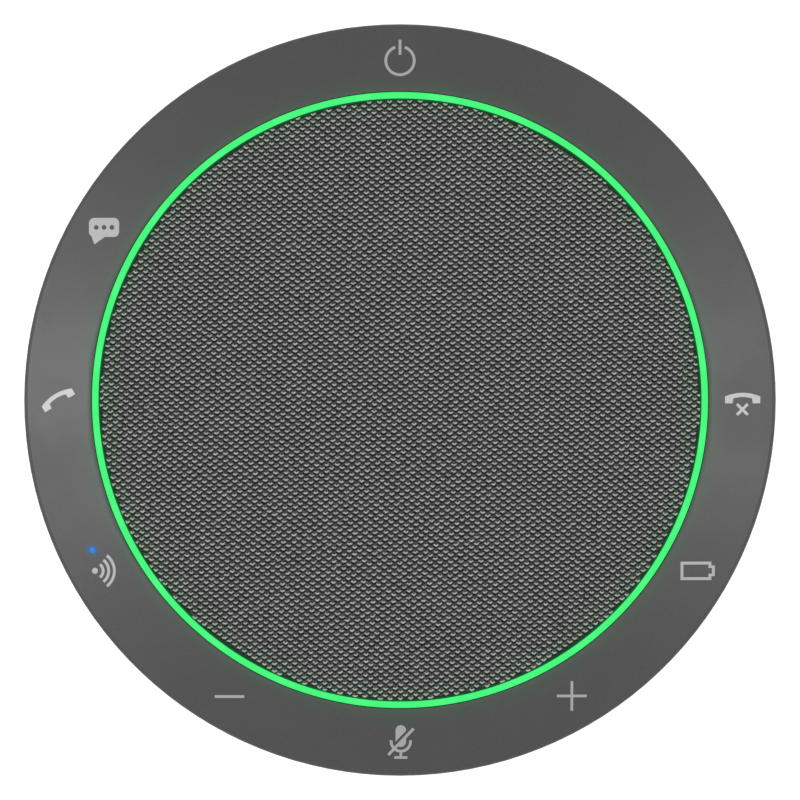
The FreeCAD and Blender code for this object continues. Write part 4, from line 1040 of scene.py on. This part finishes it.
def tube(points, faces, path, radius, sides):
    """Adds a thin closed yarn along a path of 3-D points that lies nearly flat."""
    first = len(points)
    for i, place in enumerate(path):
        ahead = path[min(i + 1, len(path) - 1)] - path[max(i - 1, 0)]
        side = Vector((-ahead.y, ahead.x, 0.0)).normalized()
        size = radius * (YARN_TIP if i in (0, len(path) - 1) else 1.0)
        for k in range(sides):
            turn = 2 * math.pi * (k + 0.5) / sides
            lift = Vector((0, 0, size * YARN_FLATNESS * math.sin(turn)))
            points.append(place + side * size * math.cos(turn) + lift)
    for i in range(len(path) - 1):
        base = first + i * sides
        for k in range(sides):
            following = (k + 1) % sides
            faces.append([base + k, base + following, base + sides + following, base + sides + k])
    last = first + (len(path) - 1) * sides
    faces.append([first + k for k in range(sides)][::-1])
    faces.append([last + k for k in range(sides)])


def held_in(place, limit):
    """Moves a point that lies outside a circle about the axis back on to it."""
    return place * (limit / max(place.length, limit))


def loop_path(middle, chance):
    """One pale loop: a shallow V with its two tips tucked down, a little different each time."""
    spin = Matrix.Rotation(ROW_LEAN + chance.gauss(0.0, LOOP_TURNS_BY), 2)
    wide = 1.0 + chance.gauss(0.0, LOOP_WIDENS_BY)
    deep = 1.0 + chance.gauss(0.0, LOOP_DEEPENS_BY)
    shift = Vector([chance.gauss(0.0, spread) for spread in LOOP_SHIFTS_BY]) * MM
    tilt = chance.gauss(0.0, LOOP_TILTS_BY)
    path = []
    for across, up, height in LOOP_SHAPE:
        rise = LOOP_RISE if up > 0 else LOOP_SAG
        place = spin @ Vector((across * LOOP_HALF * wide, up * rise * deep + across * tilt)) * MM
        x, y = held_in(middle + shift + place, CLOTH_OUTER - LOOP_MARGIN)
        path.append(Vector((x, y, cloth_height(x, y) + (height - LOOP_DROP) * MM)))
    return path


def pale_loops():
    """All the loops, in horizontal bands so that each band stays a light mesh."""
    chance = random.Random(LOOP_SEED)
    limit = CLOTH_OUTER - 0.05 * MM
    reach = int(CLOTH_OUTER / ROW_PITCH) + 3
    bands = {}
    for row in range(-2 * reach, 2 * reach + 1):
        for column in range(-reach, reach + 1):
            middle = ALONG_ROW * (column + (row % 2) / 2) + UP_COLUMN * (row / 2)
            if middle.length > limit:
                continue
            band = min(LOOP_BANDS - 1, max(0, int((middle.y + limit) / (2 * limit) * LOOP_BANDS)))
            points, faces = bands.setdefault(band, ([], []))
            tube(points, faces, loop_path(middle, chance), LOOP_RADIUS, LOOP_SIDES)
    return [
        add_piece(f"cloth_loops_{band + 1}", points, faces, PALE_YARN, HOUSING)
        for band, (points, faces) in sorted(bands.items())
    ]


def dark_threads(name, step, other, phase):
    """Parallel dark threads along one diagonal, rising and falling past the other set."""
    chance = random.Random(THREAD_SEED + phase)
    points, faces = [], []
    along = step.normalized()
    limit = CLOTH_OUTER - THREAD_MARGIN
    count = int(2 * limit / other.length) + 4
    for line in range(-count, count + 1):
        shift = Vector([chance.gauss(0, THREAD_SHIFT) for _ in range(2)]) * MM
        origin = other * line + UP_COLUMN * CROSSING_LIFT + shift
        foot = origin - along * origin.dot(along)
        if foot.length >= limit:
            continue
        half = math.sqrt(limit ** 2 - foot.length ** 2)
        steps = max(2, int(2 * half / (step.length / 3)))
        path = []
        for i in range(steps + 1):
            travel = -half + 2 * half * i / steps
            x, y = foot + along * travel
            wave = math.cos(math.pi * ((travel - origin.dot(along)) / step.length + line + phase))
            path.append(Vector((x, y, cloth_height(x, y) - THREAD_DROP + wave * THREAD_WAVE)))
        tube(points, faces, path, THREAD_RADIUS, THREAD_SIDES)
    return add_piece(name, points, faces, DARK_YARN, HOUSING)


def ground_cloth():
    """The cloth's dark ground: over the dome, round the frame's edge and down its side."""
    radii = [DOME_FOOT * i / GROUND_RINGS for i in range(GROUND_RINGS + 1)]
    profile = [(radius, cloth_height(radius, 0.0) - GROUND_DROP) for radius in radii]
    shoulder = CLOTH_CROWN - DOME_RISE - CLOTH_WRAP
    for turn in (30, 60, 90):
        bend = math.radians(turn)
        radius = DOME_FOOT + (CLOTH_WRAP - GROUND_GAP) * math.sin(bend)
        profile.append((radius, shoulder + (CLOTH_WRAP - GROUND_DROP * math.cos(bend)) * math.cos(bend)))
    profile.append((CLOTH_OUTER - GROUND_GAP, CLOTH_BOTTOM))
    skin = Skin()
    skin.grid([circle(radius, height, GROUND_STEPS) for radius, height in profile])
    return add_piece("cloth_ground", skin.points, skin.faces, FINISHES["speaker_cloth"], HOUSING)


def grille_cloth():
    ground = ground_cloth()
    rising = (ALONG_ROW + UP_COLUMN) / 2
    falling = (ALONG_ROW - UP_COLUMN) / 2
    threads = [
        dark_threads("cloth_threads_a", rising, falling, 0),
        dark_threads("cloth_threads_b", falling, rising, 1),
    ]
    loops = pale_loops()
    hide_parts("grille_fabric")


# ---------------------------------------------------------------------------------------------------------
# Camera, floor and light
# ---------------------------------------------------------------------------------------------------------

CAMERA_LENS = 500.0
SENSOR = 36.0
DISC_SHARE = 0.94
FLOOR_HALF = 3.0
FLOOR_GAP = 0.05 * MM
BOX_SIDE = 0.34
BOX_REACH = 0.45
BOX_HEIGHT = 1.08
LEFT_WATTS = 2.25
RIGHT_WATTS = 1.60
SKY_STRENGTH = 0.80
TABLE_STRENGTH = 0.6


def camera():
    """Straight above the disc, with the back of the object at the top of the picture."""
    view_width = 2 * cad_box[1][0] / DISC_SHARE
    distance = view_width * CAMERA_LENS / SENSOR
    data = bpy.data.cameras.new("camera")
    data.lens = CAMERA_LENS
    data.sensor_width = SENSOR
    data.clip_start = 0.01
    data.clip_end = 20.0
    eye = bpy.data.objects.new("camera", data)
    eye.location = (0.0, 0.0, FILM_EDGE_TOP + distance)
    bpy.context.scene.collection.objects.link(eye)
    bpy.context.scene.camera = eye


def floor():
    level = BASE - FLOOR_GAP
    ends = ((-1, -1), (1, -1), (1, 1), (-1, 1))
    corners = [(x * FLOOR_HALF, y * FLOOR_HALF, level) for x, y in ends]
    piece = add_piece("floor", corners, [[0, 1, 2, 3]], floor_finish(), smooth=False)


def floor_finish():
    """A white light table, so the object stands clear of any shadow."""
    table = Finish("light_table", 0.9)
    table.colour(table.blend(table.noise(40.0, 2.0), grey(0.90), grey(0.92)))
    table.shader.inputs["Emission Color"].default_value = grey(1.0)
    table.shader.inputs["Emission Strength"].default_value = TABLE_STRENGTH
    return table.material


def softbox(name, x, watts):
    """A square lamp high up to one side, turned to look at the object."""
    data = bpy.data.lights.new(name, "AREA")
    data.shape = "SQUARE"
    data.size = BOX_SIDE
    data.energy = watts
    lamp = bpy.data.objects.new(name, data)
    lamp.location = (x, 0.0, BOX_HEIGHT)
    lamp.rotation_euler = (-lamp.location).to_track_quat("-Z", "Y").to_euler()
    bpy.context.scene.collection.objects.link(lamp)


def studio():
    world = bpy.data.worlds.new("studio")
    world.use_nodes = True
    backdrop = world.node_tree.nodes["Background"]
    backdrop.inputs["Color"].default_value = grey(1.0)
    backdrop.inputs["Strength"].default_value = SKY_STRENGTH
    bpy.context.scene.world = world
    softbox("left_box", -BOX_REACH, LEFT_WATTS)
    softbox("right_box", BOX_REACH, RIGHT_WATTS)
    bpy.context.scene.view_settings.view_transform = "Standard"


camera()
floor()
studio()
dress_frame()
fixed_film()
for key_name, key_step in KEY_STEPS.items():
    key_film(key_name, key_step * 2 * SECTOR)
    legend(key_name, key_step * 2 * SECTOR)
light_ring()
status_light()
speaker_suspension()
grille_cloth()
